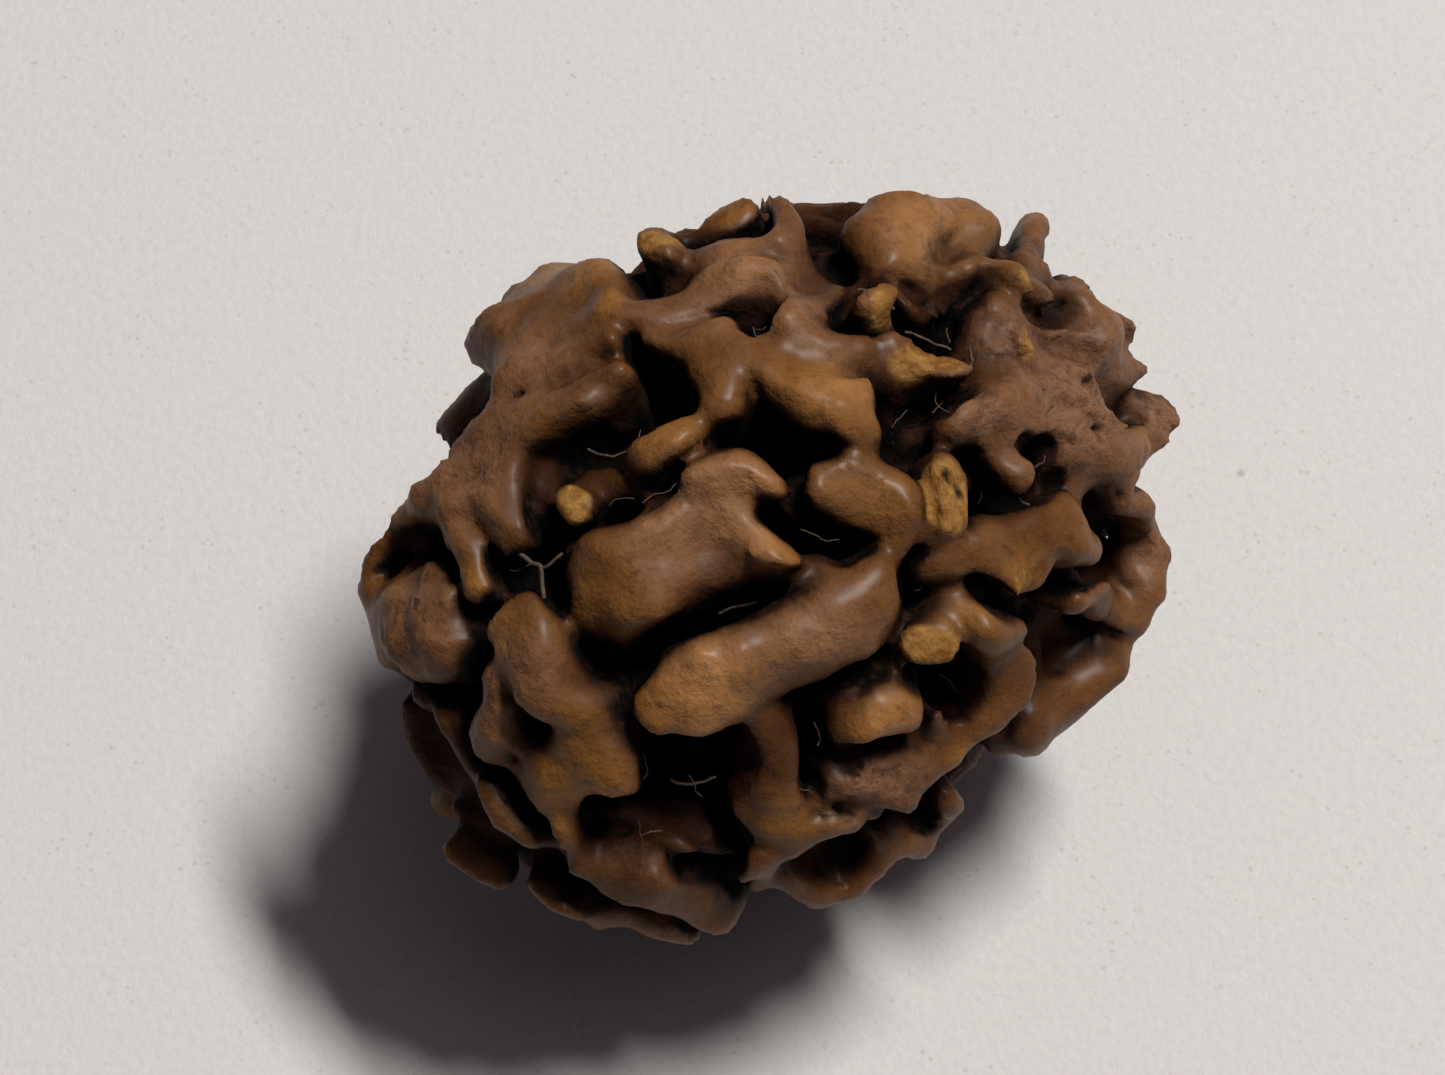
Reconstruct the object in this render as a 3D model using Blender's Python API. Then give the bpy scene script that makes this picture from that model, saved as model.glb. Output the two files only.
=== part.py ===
# Rudraksha seed: the stone of the fruit, an egg-shaped body with deep labyrinth relief.
# One solid, standing on three of its own tubercles, origin at the centre of its box's underside.
import math

import bmesh
import bpy
import numpy as np

MM = 0.001

# Driving sizes, in millimetres. The crest surface is the smooth egg that the ridge tops reach.
# A plate runs out at the plate end, this far behind the outline that the sight line gives.
CREST_SEMI_AXES = np.array([11.75, 9.2, 9.5])
LONG_AXIS_TURN = math.radians(46.0)
GROOVE_DEPTH = 2.3
FRONT_GROOVE_RISE = 0.6
REST_LEVEL = -9.25
RELIEF_CORNER = 1.0
PLATE_CORNER = 1.15
STUB_CORNER = 0.15
PLATE_END = 0.6
RIDGE_BLEND = 0.45
FLOOR_BLEND = 0.7
UNDERCUT = 0.35
SWELL = 0.13
SWELL_PITCH = 2.8

# The ridges of the upper front are placed as one sees them, on a plane through the body's centre
# square to a line of sight from above the front. x runs right and y up, in millimetres. The body's
# centre and the sight line's own foot have their places on that plane.
SIGHT_ELEVATION = math.radians(60.0)
SIGHT_DISTANCE = 110.0
SIGHT_AXIS = (-1.25, 0.72)
SIGHT_CENTRE = (-0.45, 0.4)

# The five seams run from pole to pole like meridians.
POLE = np.array([0.273, 0.428, 0.861])
SEAM_COUNT = 5
FIRST_SEAM_TURN = math.radians(205.0)
SEAM_HALF_WIDTH = 0.25

# The labyrinth that covers what the sight line doesn't reach, and the floor between the ridges.
LABYRINTH_PITCH = 4.8
LABYRINTH_WAVES = 24
LABYRINTH_BAND = 0.75
LABYRINTH_SLOPE = 0.8
LABYRINTH_FRONT_DROP = 1.0
WARP_REACH = 0.13
WARP_PITCH = 3.0
SEED = 7

# Mesh density.
SPHERE_LEVELS = 7
SOFTEN_ROUNDS = 2
TRIANGLES = 11400
TRACE_STEPS = 44
TRACE_START = 13.5

# Each ridge is how far its top lies under the crest surface, then its spine as x, y and half-width.
RIDGES = [
    # long ridge under the middle plate, and the narrow one up to the oval bump
    (0.0, [(-2.9, -4.0, 0.6), (-1.8, -3.5, 0.95), (-0.5, -3.1, 1.05), (0.8, -2.4, 1.0), (2.0, -1.6, 1.0),
           (3.2, -0.9, 0.9)]),
    (0.7, [(3.4, -0.6, 0.6), (3.8, 0.4, 0.4), (3.75, 1.3, 0.4)]),
    (0.0, [(1.7, 2.2, 0.7), (2.4, 2.1, 0.9), (3.1, 1.75, 0.8)]),
    # upper middle: the plate above the bump, and the light net behind it
    (0.0, [(0.3, 4.9, 0.6), (1.3, 4.6, 0.65), (2.3, 4.3, 0.6), (2.8, 3.6, 0.4)]),
    (0.4, [(-2.6, 6.5, 0.7), (-1.7, 6.2, 0.6), (-1.3, 5.6, 0.55), (-0.7, 5.35, 0.5), (0.5, 5.75, 0.5),
           (1.5, 5.9, 0.5), (2.4, 5.7, 0.4), (3.1, 5.5, 0.4)]),
    (0.0, [(-1.2, 4.3, 0.6), (-1.2, 4.75, 0.65)]),
    (0.0, [(-3.2, 3.35, 0.6), (-2.3, 3.6, 0.6)]),
    (0.9, [(-3.4, 3.1, 0.4), (-4.6, 2.6, 0.35), (-5.2, 2.3, 0.4)]),
    # left shoulder: a wide ridge with two crests that run into the left plateau
    (0.1, [(-4.4, 6.05, 0.45), (-5.5, 5.75, 0.6), (-6.8, 5.3, 0.65), (-7.3, 4.9, 0.5)]),
    (0.0, [(-4.3, 5.1, 0.35), (-5.0, 4.85, 0.5), (-5.6, 4.5, 0.6), (-6.5, 4.1, 0.7), (-7.5, 3.6, 0.7),
           (-8.1, 3.0, 0.5)]),
    (0.3, [(-5.9, 5.15, 0.55), (-4.7, 5.6, 0.45)]),
    (0.1, [(-10.1, 1.25, 0.25), (-9.3, 1.65, 0.35), (-8.6, 2.15, 0.4)]),
    (0.2, [(-10.35, 0.7, 0.2), (-10.6, 0.1, 0.22), (-10.7, -0.5, 0.3)]),
    (0.3, [(-7.9, -0.35, 0.42), (-8.3, 0.4, 0.4)]),
    # lower left
    (0.3, [(-7.2, -1.9, 0.5), (-7.0, -2.3, 0.4)]),
    (0.1, [(-6.8, -1.1, 0.5), (-6.3, -2.0, 0.5), (-6.1, -2.9, 0.5), (-5.5, -3.7, 0.6)]),
    (0.1, [(-7.5, -3.5, 0.75), (-7.6, -4.6, 0.85)]),
    (0.4, [(-7.2, -3.1, 0.5), (-6.5, -2.7, 0.5)]),
    (0.6, [(-8.0, -6.2, 0.28), (-7.6, -7.0, 0.3), (-7.0, -7.5, 0.3), (-6.2, -7.8, 0.3)]),
    # lower middle: the upright ridge and its right arm
    (0.5, [(0.25, -4.6, 0.5), (0.35, -5.1, 0.5), (0.3, -5.8, 0.42), (0.3, -6.6, 0.42), (0.45, -7.4, 0.45),
           (0.5, -8.0, 0.4)]),
    (0.2, [(0.6, -7.8, 0.35), (1.4, -7.3, 0.35), (2.2, -7.2, 0.3), (3.0, -7.1, 0.3)]),
    (0.3, [(-4.9, -8.5, 0.55), (-3.5, -8.9, 0.7), (-2.2, -9.4, 0.65), (-1.0, -9.7, 0.5)]),
    (0.1, [(-5.6, -7.2, 0.25), (-5.5, -8.2, 0.3)]),
    (0.1, [(-6.3, -8.9, 0.3), (-5.6, -9.2, 0.3), (-4.4, -9.7, 0.35), (-3.0, -9.9, 0.35), (-2.1, -10.0, 0.4)]),
    (0.9, [(-10.5, -2.9, 0.3), (-10.1, -3.8, 0.3), (-9.3, -4.6, 0.3), (-8.9, -5.6, 0.3), (-8.4, -6.4, 0.3)]),
    (0.0, [(-8.4, -7.8, 0.35), (-7.5, -8.5, 0.35)]),
    (0.3, [(-0.7, -8.6, 0.2), (-0.2, -8.1, 0.2), (0.0, -8.5, 0.2), (-0.3, -9.1, 0.25)]),
    (0.2, [(0.5, -8.7, 0.35), (1.4, -9.0, 0.4), (2.3, -8.7, 0.4), (3.0, -8.0, 0.3)]),
    (0.2, [(3.2, -7.6, 0.3), (4.3, -7.5, 0.35), (5.0, -7.1, 0.45), (5.1, -6.6, 0.4)]),
    # lower right: hook ridge, big lobe and rim
    (0.0, [(5.5, -1.6, 0.45), (6.4, -2.0, 0.45), (6.7, -2.8, 0.42), (6.35, -3.7, 0.38), (5.8, -4.5, 0.38),
           (5.2, -5.2, 0.42)]),
    (0.55, [(5.1, -5.0, 0.3), (4.7, -4.3, 0.26)]),
    (0.0, [(9.2, -1.9, 0.7), (9.0, -2.9, 1.0), (8.4, -3.7, 1.1), (7.5, -4.4, 0.85)]),
    (0.0, [(5.0, 0.0, 0.5), (6.0, 0.3, 0.65), (7.0, 0.55, 0.7), (8.0, 0.8, 0.65), (8.8, 0.7, 0.5)]),
    (0.4, [(5.1, -0.1, 0.4), (5.2, -1.3, 0.4), (4.7, -1.9, 0.4)]),
    (0.0, [(9.5, 1.7, 0.35), (10.25, 1.2, 0.4), (10.5, 0.2, 0.42), (10.35, -0.7, 0.42), (9.8, -1.4, 0.4),
           (9.0, -1.2, 0.4), (8.3, -0.9, 0.35)]),
    # right
    (0.1, [(5.2, 3.4, 0.4), (6.3, 4.1, 0.5), (7.2, 4.4, 0.55), (8.2, 4.3, 0.6), (9.1, 3.8, 0.5),
           (9.5, 3.5, 0.45)]),
    (0.2, [(6.3, 3.0, 0.45), (6.8, 2.8, 0.55), (6.8, 2.45, 0.4)]),
    (0.0, [(8.6, 2.7, 0.65), (9.4, 2.8, 0.65), (10.1, 3.0, 0.6)]),
    (0.3, [(8.8, 2.2, 0.4), (8.7, 1.6, 0.35)]),
    (0.2, [(7.6, 5.1, 0.5), (8.6, 5.2, 0.5)]),
    (0.0, [(8.0, 7.2, 0.5), (8.3, 7.5, 0.45)]),
    (0.0, [(8.8, 6.1, 0.8), (9.6, 6.2, 0.75)]),
    (0.0, [(9.4, 5.2, 0.5), (9.8, 5.3, 0.45)]),
    (0.0, [(10.0, 4.0, 0.6), (10.5, 4.05, 0.55)]),
    (0.0, [(7.3, 9.0, 0.4), (7.25, 8.2, 0.45), (7.2, 7.5, 0.4)]),
    # top left and top
    (0.0, [(-7.2, 5.7, 0.65), (-7.2, 6.5, 0.75), (-7.0, 7.2, 0.65)]),
    (0.35, [(-2.6, 8.3, 0.5), (-1.2, 8.7, 0.55), (0.0, 8.9, 0.5)]),
    (0.3, [(-5.8, 6.5, 0.5), (-4.2, 6.9, 0.7), (-2.8, 7.3, 0.8), (-1.2, 7.9, 0.75), (0.4, 8.0, 0.7),
           (1.7, 7.9, 0.5)]),
    (0.0, [(-1.4, 9.5, 0.5), (-0.9, 9.7, 0.45)]),
    (0.1, [(0.3, 9.7, 0.4), (0.4, 8.8, 0.4)]),
    (0.2, [(-2.7, 8.9, 0.4), (-1.8, 9.3, 0.4)]),
    (0.0, [(3.3, 9.5, 0.5), (5.1, 9.6, 0.5)]),
    (0.3, [(-8.1, 3.4, 0.4), (-7.6, 4.1, 0.4)]),
    (0.0, [(-10.8, -0.9, 0.5), (-10.7, -2.1, 0.5)]),
    (0.1, [(0.9, 6.8, 0.6), (1.4, 7.4, 0.5)]),
    (0.2, [(0.6, 6.4, 0.4), (1.6, 6.3, 0.4)]),
]

# Each plate is how far its top lies under the crest surface, then its outline as x and y.
PLATES = [
    # the big middle plate, curled round a pocket at its upper right
    (0.0, [(-5.6, 0.6), (-4.6, 0.8), (-3.7, 1.5), (-2.6, 2.0), (-2.3, 2.5), (-1.6, 3.0), (-0.9, 3.05),
           (0.2, 2.6), (0.6, 2.3), (0.1, 1.95), (-0.3, 1.85), (-0.5, 1.5), (0.0, 1.0), (1.3, 0.0),
           (0.6, -0.4), (-0.5, -0.7), (-1.5, -1.0), (-2.5, -1.5), (-3.2, -2.1), (-3.9, -2.3),
           (-4.9, -1.8), (-5.5, -1.6), (-5.3, -0.6)]),
    # left edge
    (0.0, [(-10.9, -1.2), (-10.6, -0.5), (-9.5, 0.2), (-8.6, -0.4), (-8.4, -2.2), (-9.0, -2.9),
           (-9.8, -3.1), (-10.4, -2.6)]),
    # lower left
    (0.0, [(-5.9, -4.4), (-5.5, -3.6), (-4.8, -3.4), (-4.2, -3.8), (-3.9, -4.6), (-3.7, -5.6),
           (-3.6, -6.3), (-4.2, -6.6), (-5.0, -6.5), (-5.4, -6.9), (-6.0, -7.0), (-6.6, -6.5),
           (-6.9, -5.8), (-6.7, -5.2), (-6.2, -4.9)]),
    # the two knobs of the lower right
    (0.0, [(1.9, -4.9), (2.2, -4.0), (2.8, -3.4), (3.6, -3.0), (4.3, -3.5), (4.2, -4.5), (3.4, -4.95),
           (2.4, -5.1)]),
    (0.1, [(1.6, -5.8), (3.0, -5.4), (4.2, -5.0), (5.4, -5.0), (5.2, -5.6), (4.4, -6.3), (3.8, -7.0),
           (2.5, -7.0), (1.8, -6.6)]),
    # top right lobe and the pitted one at the top left
    (0.0, [(2.0, 8.9), (3.2, 10.0), (5.2, 10.0), (6.2, 9.2), (6.6, 8.4), (6.2, 7.7), (5.6, 7.5), (4.6, 7.8),
           (3.7, 8.2), (3.0, 8.2)]),
    (0.1, [(-7.9, 6.2), (-7.6, 7.3), (-7.0, 8.0), (-5.9, 8.5), (-4.5, 8.1), (-3.9, 7.9), (-4.0, 7.0),
           (-5.5, 6.6), (-5.9, 5.9), (-6.9, 5.3), (-7.6, 5.3)]),
    # left plateau
    (0.0, [(-8.7, 3.3), (-8.0, 4.1), (-7.0, 4.3), (-6.6, 3.6), (-6.9, 2.4), (-6.9, 1.3), (-7.5, 0.7),
           (-8.1, 1.0), (-8.8, 0.4), (-9.1, 1.0), (-9.0, 2.2)]),
    # the rough plateau of the right, under its knobs
    (0.45, [(5.9, 6.6), (6.6, 7.1), (7.4, 7.4), (8.3, 7.2), (9.3, 6.4), (9.7, 5.3), (9.9, 4.3), (9.2, 3.6),
            (7.6, 3.8), (6.2, 3.6), (5.6, 4.2), (5.9, 5.2)]),
]

# Broken ends of fibre bundles: round stubs with flat tops.
STUBS = [
    (0.0, [(4.75, 1.4, 0.6), (4.75, 2.2, 0.6)]),
    (0.1, [(4.15, -2.2, 0.48), (4.6, -2.2, 0.48)]),
    (0.1, [(3.8, 5.5, 0.48), (4.8, 5.55, 0.5)]),
    (0.1, [(3.05, 6.8, 0.48), (3.15, 6.8, 0.48)]),
    (0.1, [(6.6, 7.4, 0.33), (6.6, 7.5, 0.33)]),
    (0.0, [(7.0, 5.9, 0.35), (7.0, 6.0, 0.35)]),
    (0.2, [(-5.4, 1.6, 0.42), (-5.4, 1.95, 0.45)]),
    (0.1, [(-3.0, 8.45, 0.5), (-2.8, 8.5, 0.5)]),
    (0.1, [(6.65, -0.4, 0.42), (7.1, -0.3, 0.45)]),
]

# Dark cavities: how deep under the crest each is cut, then its path as x, y and half-width.
HOLLOWS = [
    (3.6, [(-3.3, 5.6, 0.6), (-2.7, 4.7, 0.7)]),
    (3.2, [(-0.45, 6.9, 0.25), (-0.4, 6.2, 0.35)]),
    (3.0, [(-3.6, 2.6, 0.4), (-2.9, 2.65, 0.4)]),
    (3.0, [(-4.8, 1.6, 0.3), (-4.4, 1.7, 0.3)]),
    (3.4, [(-1.6, 3.6, 0.3), (-0.4, 3.7, 0.45), (1.0, 3.5, 0.45), (2.3, 3.2, 0.3)]),
    (3.0, [(1.1, 1.0, 0.3), (2.2, 0.6, 0.4), (2.8, 0.3, 0.3)]),
    (2.2, [(0.0, 1.6, 0.25), (0.4, 1.4, 0.25)]),
    (3.2, [(-3.3, -2.9, 0.35), (-2.0, -2.1, 0.35), (-0.6, -1.5, 0.3), (0.6, -0.8, 0.25)]),
    (3.0, [(-4.9, -2.6, 0.4), (-4.3, -2.7, 0.35)]),
    (3.6, [(-2.9, -5.1, 0.6), (-1.5, -5.4, 0.8), (-0.8, -6.0, 0.5)]),
    (3.2, [(-3.1, -6.0, 0.5), (-1.6, -6.5, 0.6)]),
    (3.2, [(-5.0, -7.1, 0.25), (-3.2, -7.2, 0.5), (-1.7, -7.5, 0.5), (-0.8, -7.8, 0.45)]),
    (3.2, [(1.15, -5.0, 0.3), (1.1, -6.3, 0.3)]),
    (3.2, [(1.3, -3.8, 0.35), (2.0, -3.0, 0.3), (3.2, -2.3, 0.3)]),
    (2.6, [(1.9, -5.3, 0.15), (3.0, -5.25, 0.15)]),
    (3.4, [(5.6, 1.2, 0.3), (6.9, 1.8, 0.4), (7.7, 2.3, 0.4), (7.9, 3.2, 0.3)]),
    (2.6, [(-7.9, -1.3, 0.35), (-7.9, -2.4, 0.2)]),
    (2.6, [(-9.6, -3.6, 0.3), (-8.8, -4.4, 0.25), (-8.5, -5.9, 0.3)]),
    (2.4, [(-9.9, 0.9, 0.35), (-9.5, 0.7, 0.3)]),
    (2.8, [(-6.5, 1.6, 0.3), (-6.5, 0.6, 0.4), (-6.3, -0.4, 0.35)]),
    (2.4, [(-5.8, 3.4, 0.35), (-4.5, 3.8, 0.35), (-3.9, 4.3, 0.35)]),
    (2.8, [(2.8, 7.9, 0.25), (3.5, 7.4, 0.3)]),
    (2.8, [(4.3, 7.0, 0.3), (5.4, 6.7, 0.3)]),
    (2.0, [(4.9, 4.6, 0.35), (5.3, 4.9, 0.35)]),
    (2.2, [(3.9, 3.1, 0.25), (3.9, 4.4, 0.25)]),
    (3.0, [(5.3, -3.8, 0.4), (5.5, -2.8, 0.45)]),
    (2.8, [(7.5, -1.5, 0.3), (7.7, -2.4, 0.35)]),
    (2.6, [(9.4, 0.4, 0.4), (9.5, -0.4, 0.35)]),
    (2.2, [(4.2, -0.6, 0.2), (4.3, -1.4, 0.2)]),
    (2.4, [(6.1, -1.1, 0.25), (7.2, -1.3, 0.25)]),
    (2.4, [(-3.1, 7.9, 0.2), (-2.6, 7.9, 0.2)]),
    (2.4, [(-7.4, -6.2, 0.25), (-7.1, -6.7, 0.25)]),
    (1.6, [(-5.9, 6.8, 0.12), (-5.9, 6.2, 0.15)]),
    (1.6, [(5.9, 7.2, 0.3), (6.1, 6.9, 0.25)]),
    # where the outline falls in
    (1.8, [(-0.4, 10.0, 0.6), (0.9, 10.0, 0.7), (1.9, 10.0, 0.6)]),
    (1.6, [(-4.3, 8.6, 0.5), (-3.2, 9.1, 0.4)]),
    (1.7, [(-7.7, 4.8, 0.3), (-8.4, 4.6, 0.5), (-9.1, 3.6, 0.5)]),
    (2.3, [(3.9, -8.7, 0.6), (5.6, -8.0, 0.7)]),
    (2.0, [(6.3, -6.2, 0.5), (6.2, -5.3, 0.3)]),
]

# Three tubercles of the underside reach the table: distance from the centre, bearing and half-width.
FOOT_RADIUS = 3.7
FOOT_BEARINGS = [math.radians(20.0), math.radians(140.0), math.radians(260.0)]
FOOT_HALF_WIDTH = 0.95
FOOT_OVERSHOOT = 0.4
FOOT_SNAP = 0.05
BASE_HOLLOW_RADIUS = 2.6
BASE_HOLLOW_DEPTH = 1.0

# Colour, roughness and metallic value of the waxy shell.
SHELL_COLOUR = (0.19, 0.105, 0.058, 1.0)
SHELL_ROUGHNESS = 0.48

RIGHT = np.array([1.0, 0.0, 0.0])
SIGHT_UP = np.array([0.0, math.sin(SIGHT_ELEVATION), math.cos(SIGHT_ELEVATION)])
TOWARD_EYE = np.array([0.0, -math.cos(SIGHT_ELEVATION), math.sin(SIGHT_ELEVATION)])
SIGHT_SHIFT = [axis - centre for axis, centre in zip(SIGHT_AXIS, SIGHT_CENTRE)]
EYE = SIGHT_SHIFT[0] * RIGHT + SIGHT_SHIFT[1] * SIGHT_UP + SIGHT_DISTANCE * TOWARD_EYE
BODY_AXES = np.array([
    [math.cos(LONG_AXIS_TURN), math.sin(LONG_AXIS_TURN), 0.0],
    [-math.sin(LONG_AXIS_TURN), math.cos(LONG_AXIS_TURN), 0.0],
    [0.0, 0.0, 1.0],
])


def clear_scene():
    for thing in list(bpy.data.objects):
        bpy.data.objects.remove(thing, do_unlink=True)


def unit(vectors):
    return vectors / np.linalg.norm(vectors, axis=-1, keepdims=True)


def crest_height(points):
    """Height of points over the crest surface, below zero inside."""
    scaled = points @ BODY_AXES.T / CREST_SEMI_AXES
    size = np.linalg.norm(scaled, axis=-1)
    slope = np.linalg.norm(scaled / CREST_SEMI_AXES, axis=-1)
    return (size - 1.0) * size / slope


def crest_normal(points):
    scaled = points @ BODY_AXES.T / CREST_SEMI_AXES ** 2
    return unit(scaled @ BODY_AXES)


def on_crest(x, y):
    """Where the sight line through x, y meets the crest surface, or passes closest to it."""
    spot = (x - SIGHT_CENTRE[0]) * RIGHT + (y - SIGHT_CENTRE[1]) * SIGHT_UP
    ray = unit(spot - EYE)
    start = BODY_AXES @ EYE / CREST_SEMI_AXES
    way = BODY_AXES @ ray / CREST_SEMI_AXES
    square = way @ way
    half = start @ way
    rest = half * half - square * (start @ start - 1.0)
    return EYE + ray * (-half - math.sqrt(max(rest, 0.0))) / square


def blend(first, second, width):
    """Union of two distances with a fillet."""
    near = np.maximum(width - np.abs(first - second), 0.0) / width
    return np.minimum(first, second) - near * near * width * 0.25


def wall(side, rise, corner):
    """Distance to a wall with a rounded edge that draws in under its crest."""
    side = side + UNDERCUT * np.clip(-rise / 1.4 - 0.5, 0.0, 1.0)
    across = side + corner
    over = rise + corner
    outer = np.hypot(np.maximum(across, 0.0), np.maximum(over, 0.0))
    return outer + np.minimum(np.maximum(across, over), 0.0) - corner


def waves(points, pitch, count, draw):
    """Smooth random field of mean square one: a sum of plane waves of one pitch."""
    total = np.zeros(len(points))
    for _ in range(count):
        direction = unit(draw.normal(size=3))
        phase = draw.uniform(0.0, math.tau)
        total += np.cos(points @ direction * (math.tau / pitch) + phase)
    return total * math.sqrt(2.0 / count)


def roughened(points):
    """Points shifted a little by a random field, and their height over a crest that swells and falls."""
    draw = np.random.default_rng(SEED)
    shift = [waves(points, WARP_PITCH, 9, draw) for _ in range(3)]
    points = points + WARP_REACH * np.stack(shift, axis=-1)
    return points, crest_height(points) + SWELL * waves(points, SWELL_PITCH, 12, draw)


def spine_distance(points, height, start, end, top, corner):
    """Distance to the wall that stands on one stretch of a spine."""
    foot, foot_width = start
    tip, tip_width = end
    normal = crest_normal((foot + tip) / 2.0)
    run = (tip - foot) - (tip - foot) @ normal * normal
    way = points - foot
    way = way - (way @ normal)[:, None] * normal
    along = np.clip(way @ run / max(run @ run, 1e-9), 0.0, 1.0)
    side = np.linalg.norm(way - along[:, None] * run, axis=-1)
    side -= foot_width + along * (tip_width - foot_width)
    level = crest_height(foot[None])[0] * (1.0 - along) + crest_height(tip[None])[0] * along
    return wall(side, height - level + top, min(corner, 0.95 * min(foot_width, tip_width)))


def plate_distance(points, height, outline, top, corner):
    """Distance to a plate: its outline is laid on the plane that touches the crest at its middle."""
    middle = outline.mean(axis=0)
    normal = crest_normal(middle)
    across = unit(np.cross(SIGHT_UP, normal))
    upward = np.cross(normal, across)
    flat = np.stack([(points - middle) @ across, (points - middle) @ upward], axis=-1)
    corners = np.stack([(outline - middle) @ across, (outline - middle) @ upward], axis=-1)
    nearest = np.full(len(points), 1e9)
    inside = np.zeros(len(points), dtype=bool)
    for first, second in zip(corners, np.roll(corners, -1, axis=0)):
        edge = second - first
        way = flat - first
        along = np.clip(way @ edge / (edge @ edge), 0.0, 1.0)
        nearest = np.minimum(nearest, np.linalg.norm(way - along[:, None] * edge, axis=-1))
        crosses = (first[1] > flat[:, 1]) != (second[1] > flat[:, 1])
        rise = edge[1] if edge[1] else 1e-9
        inside ^= crosses & (way[:, 0] < edge[0] * way[:, 1] / rise)
    side = np.where(inside, -nearest, nearest) + np.maximum(-(points @ TOWARD_EYE) - PLATE_END, 0.0)
    level = max(0.0, crest_height(outline).mean())
    return wall(side, height - level + top, corner)


def facing(points):
    """One where the sight line reaches, falling to none behind the limb."""
    return np.clip((crest_normal(points) @ TOWARD_EYE + 0.7) / 0.6, 0.0, 1.0)


def labyrinth_distance(points, height):
    """Random winding ridges: full height where the sight line doesn't reach, low between the rest."""
    draw = np.random.default_rng(SEED + 1)
    field = waves(points, LABYRINTH_PITCH, LABYRINTH_WAVES, draw)
    side = np.clip((np.abs(field) - LABYRINTH_BAND) * LABYRINTH_SLOPE, -1.2, 1.2)
    turned = points - (points @ POLE)[:, None] * POLE
    first = unit(np.cross(POLE, RIGHT))
    second = np.cross(POLE, first)
    bearing = np.arctan2(turned @ second, turned @ first) - FIRST_SEAM_TURN
    step = math.tau / SEAM_COUNT
    off_seam = np.abs((bearing + step / 2.0) % step - step / 2.0)
    seam_way = np.sin(off_seam) * np.linalg.norm(turned, axis=-1)
    side = -blend(-side, seam_way - SEAM_HALF_WIDTH, FLOOR_BLEND)
    drop = LABYRINTH_FRONT_DROP * facing(points) + 0.2 * waves(points, LABYRINTH_PITCH, 8, draw)
    reach = np.linalg.norm(points[:, :2], axis=-1) / BASE_HOLLOW_RADIUS
    drop += np.where(points[:, 2] < 0.0, BASE_HOLLOW_DEPTH * np.exp(-reach ** 2), 0.0)
    return wall(side, height + np.maximum(drop, 0.0), RELIEF_CORNER)


def hollow_distance(points, height, start, end, depth):
    """Distance to the hole that is cut along one stretch of a cavity's path."""
    foot, foot_width = start
    tip, tip_width = end
    normal = crest_normal((foot + tip) / 2.0)
    run = (tip - foot) - (tip - foot) @ normal * normal
    way = points - foot
    way = way - (way @ normal)[:, None] * normal
    along = np.clip(way @ run / max(run @ run, 1e-9), 0.0, 1.0)
    side = np.linalg.norm(way - along[:, None] * run, axis=-1)
    side -= foot_width + along * (tip_width - foot_width) + 0.25
    return np.maximum(side, -(height + depth)) + 0.15


def hollow_pieces():
    """Every stretch of the cavities as its middle, its reach, and what sizes it."""
    pieces = []
    for depth, path in HOLLOWS:
        knots = [(on_crest(x, y), width) for x, y, width in path]
        for start, end in zip(knots, knots[1:]):
            middle = (start[0] + end[0]) / 2.0
            reach = np.linalg.norm(end[0] - start[0]) / 2.0 + max(start[1], end[1]) + 1.0
            pieces.append((middle, reach, (start, end, depth)))
    return pieces


def relief_pieces():
    """Every raised piece as its middle, its reach, and its distance function."""
    pieces = []
    for corner, group in ((RELIEF_CORNER, RIDGES), (STUB_CORNER, STUBS)):
        for top, spine in group:
            knots = [(on_crest(x, y), width) for x, y, width in spine]
            for start, end in zip(knots, knots[1:]):
                middle = (start[0] + end[0]) / 2.0
                reach = np.linalg.norm(end[0] - start[0]) / 2.0 + max(start[1], end[1])
                pieces.append((middle, reach, spine_distance, (start, end, top, corner)))
    for top, outline in PLATES:
        corners = np.array([on_crest(x, y) for x, y in outline])
        middle = corners.mean(axis=0)
        reach = np.linalg.norm(corners - middle, axis=-1).max()
        pieces.append((middle, reach, plate_distance, (corners, top, PLATE_CORNER)))
    for bearing in FOOT_BEARINGS:
        foot = np.array([math.cos(bearing), math.sin(bearing), 0.0]) * FOOT_RADIUS
        foot[2] = REST_LEVEL - FOOT_OVERSHOOT
        knot = (foot, FOOT_HALF_WIDTH)
        pieces.append((foot, FOOT_HALF_WIDTH, spine_distance, (knot, knot, 0.0, RELIEF_CORNER)))
    return pieces


def trace_surface(directions):
    """Outermost point of the relief along each direction from the body's centre."""
    def close_by(middle, reach):
        spread = (reach + 2.0) / np.linalg.norm(middle)
        return np.nonzero(directions @ unit(middle) > math.cos(min(spread, math.pi)))[0]

    hollows = [(close_by(middle, reach), sizes) for middle, reach, sizes in hollow_pieces()]
    raised = [(close_by(middle, reach), measure, sizes) for middle, reach, measure, sizes in relief_pieces()]
    radius = np.full(len(directions), TRACE_START)
    for _ in range(TRACE_STEPS):
        points, height = roughened(directions * radius[:, None])
        floor = height + GROOVE_DEPTH - FRONT_GROOVE_RISE * facing(points)
        distance = blend(floor, labyrinth_distance(points, height), FLOOR_BLEND)
        for chosen, sizes in hollows:
            hole = hollow_distance(points[chosen], height[chosen], *sizes)
            distance[chosen] = -blend(-distance[chosen], hole, RIDGE_BLEND)
        for chosen, measure, sizes in raised:
            piece = measure(points[chosen], height[chosen], *sizes)
            distance[chosen] = blend(distance[chosen], piece, RIDGE_BLEND)
        radius -= 0.8 * distance
    return directions * radius[:, None]


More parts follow.
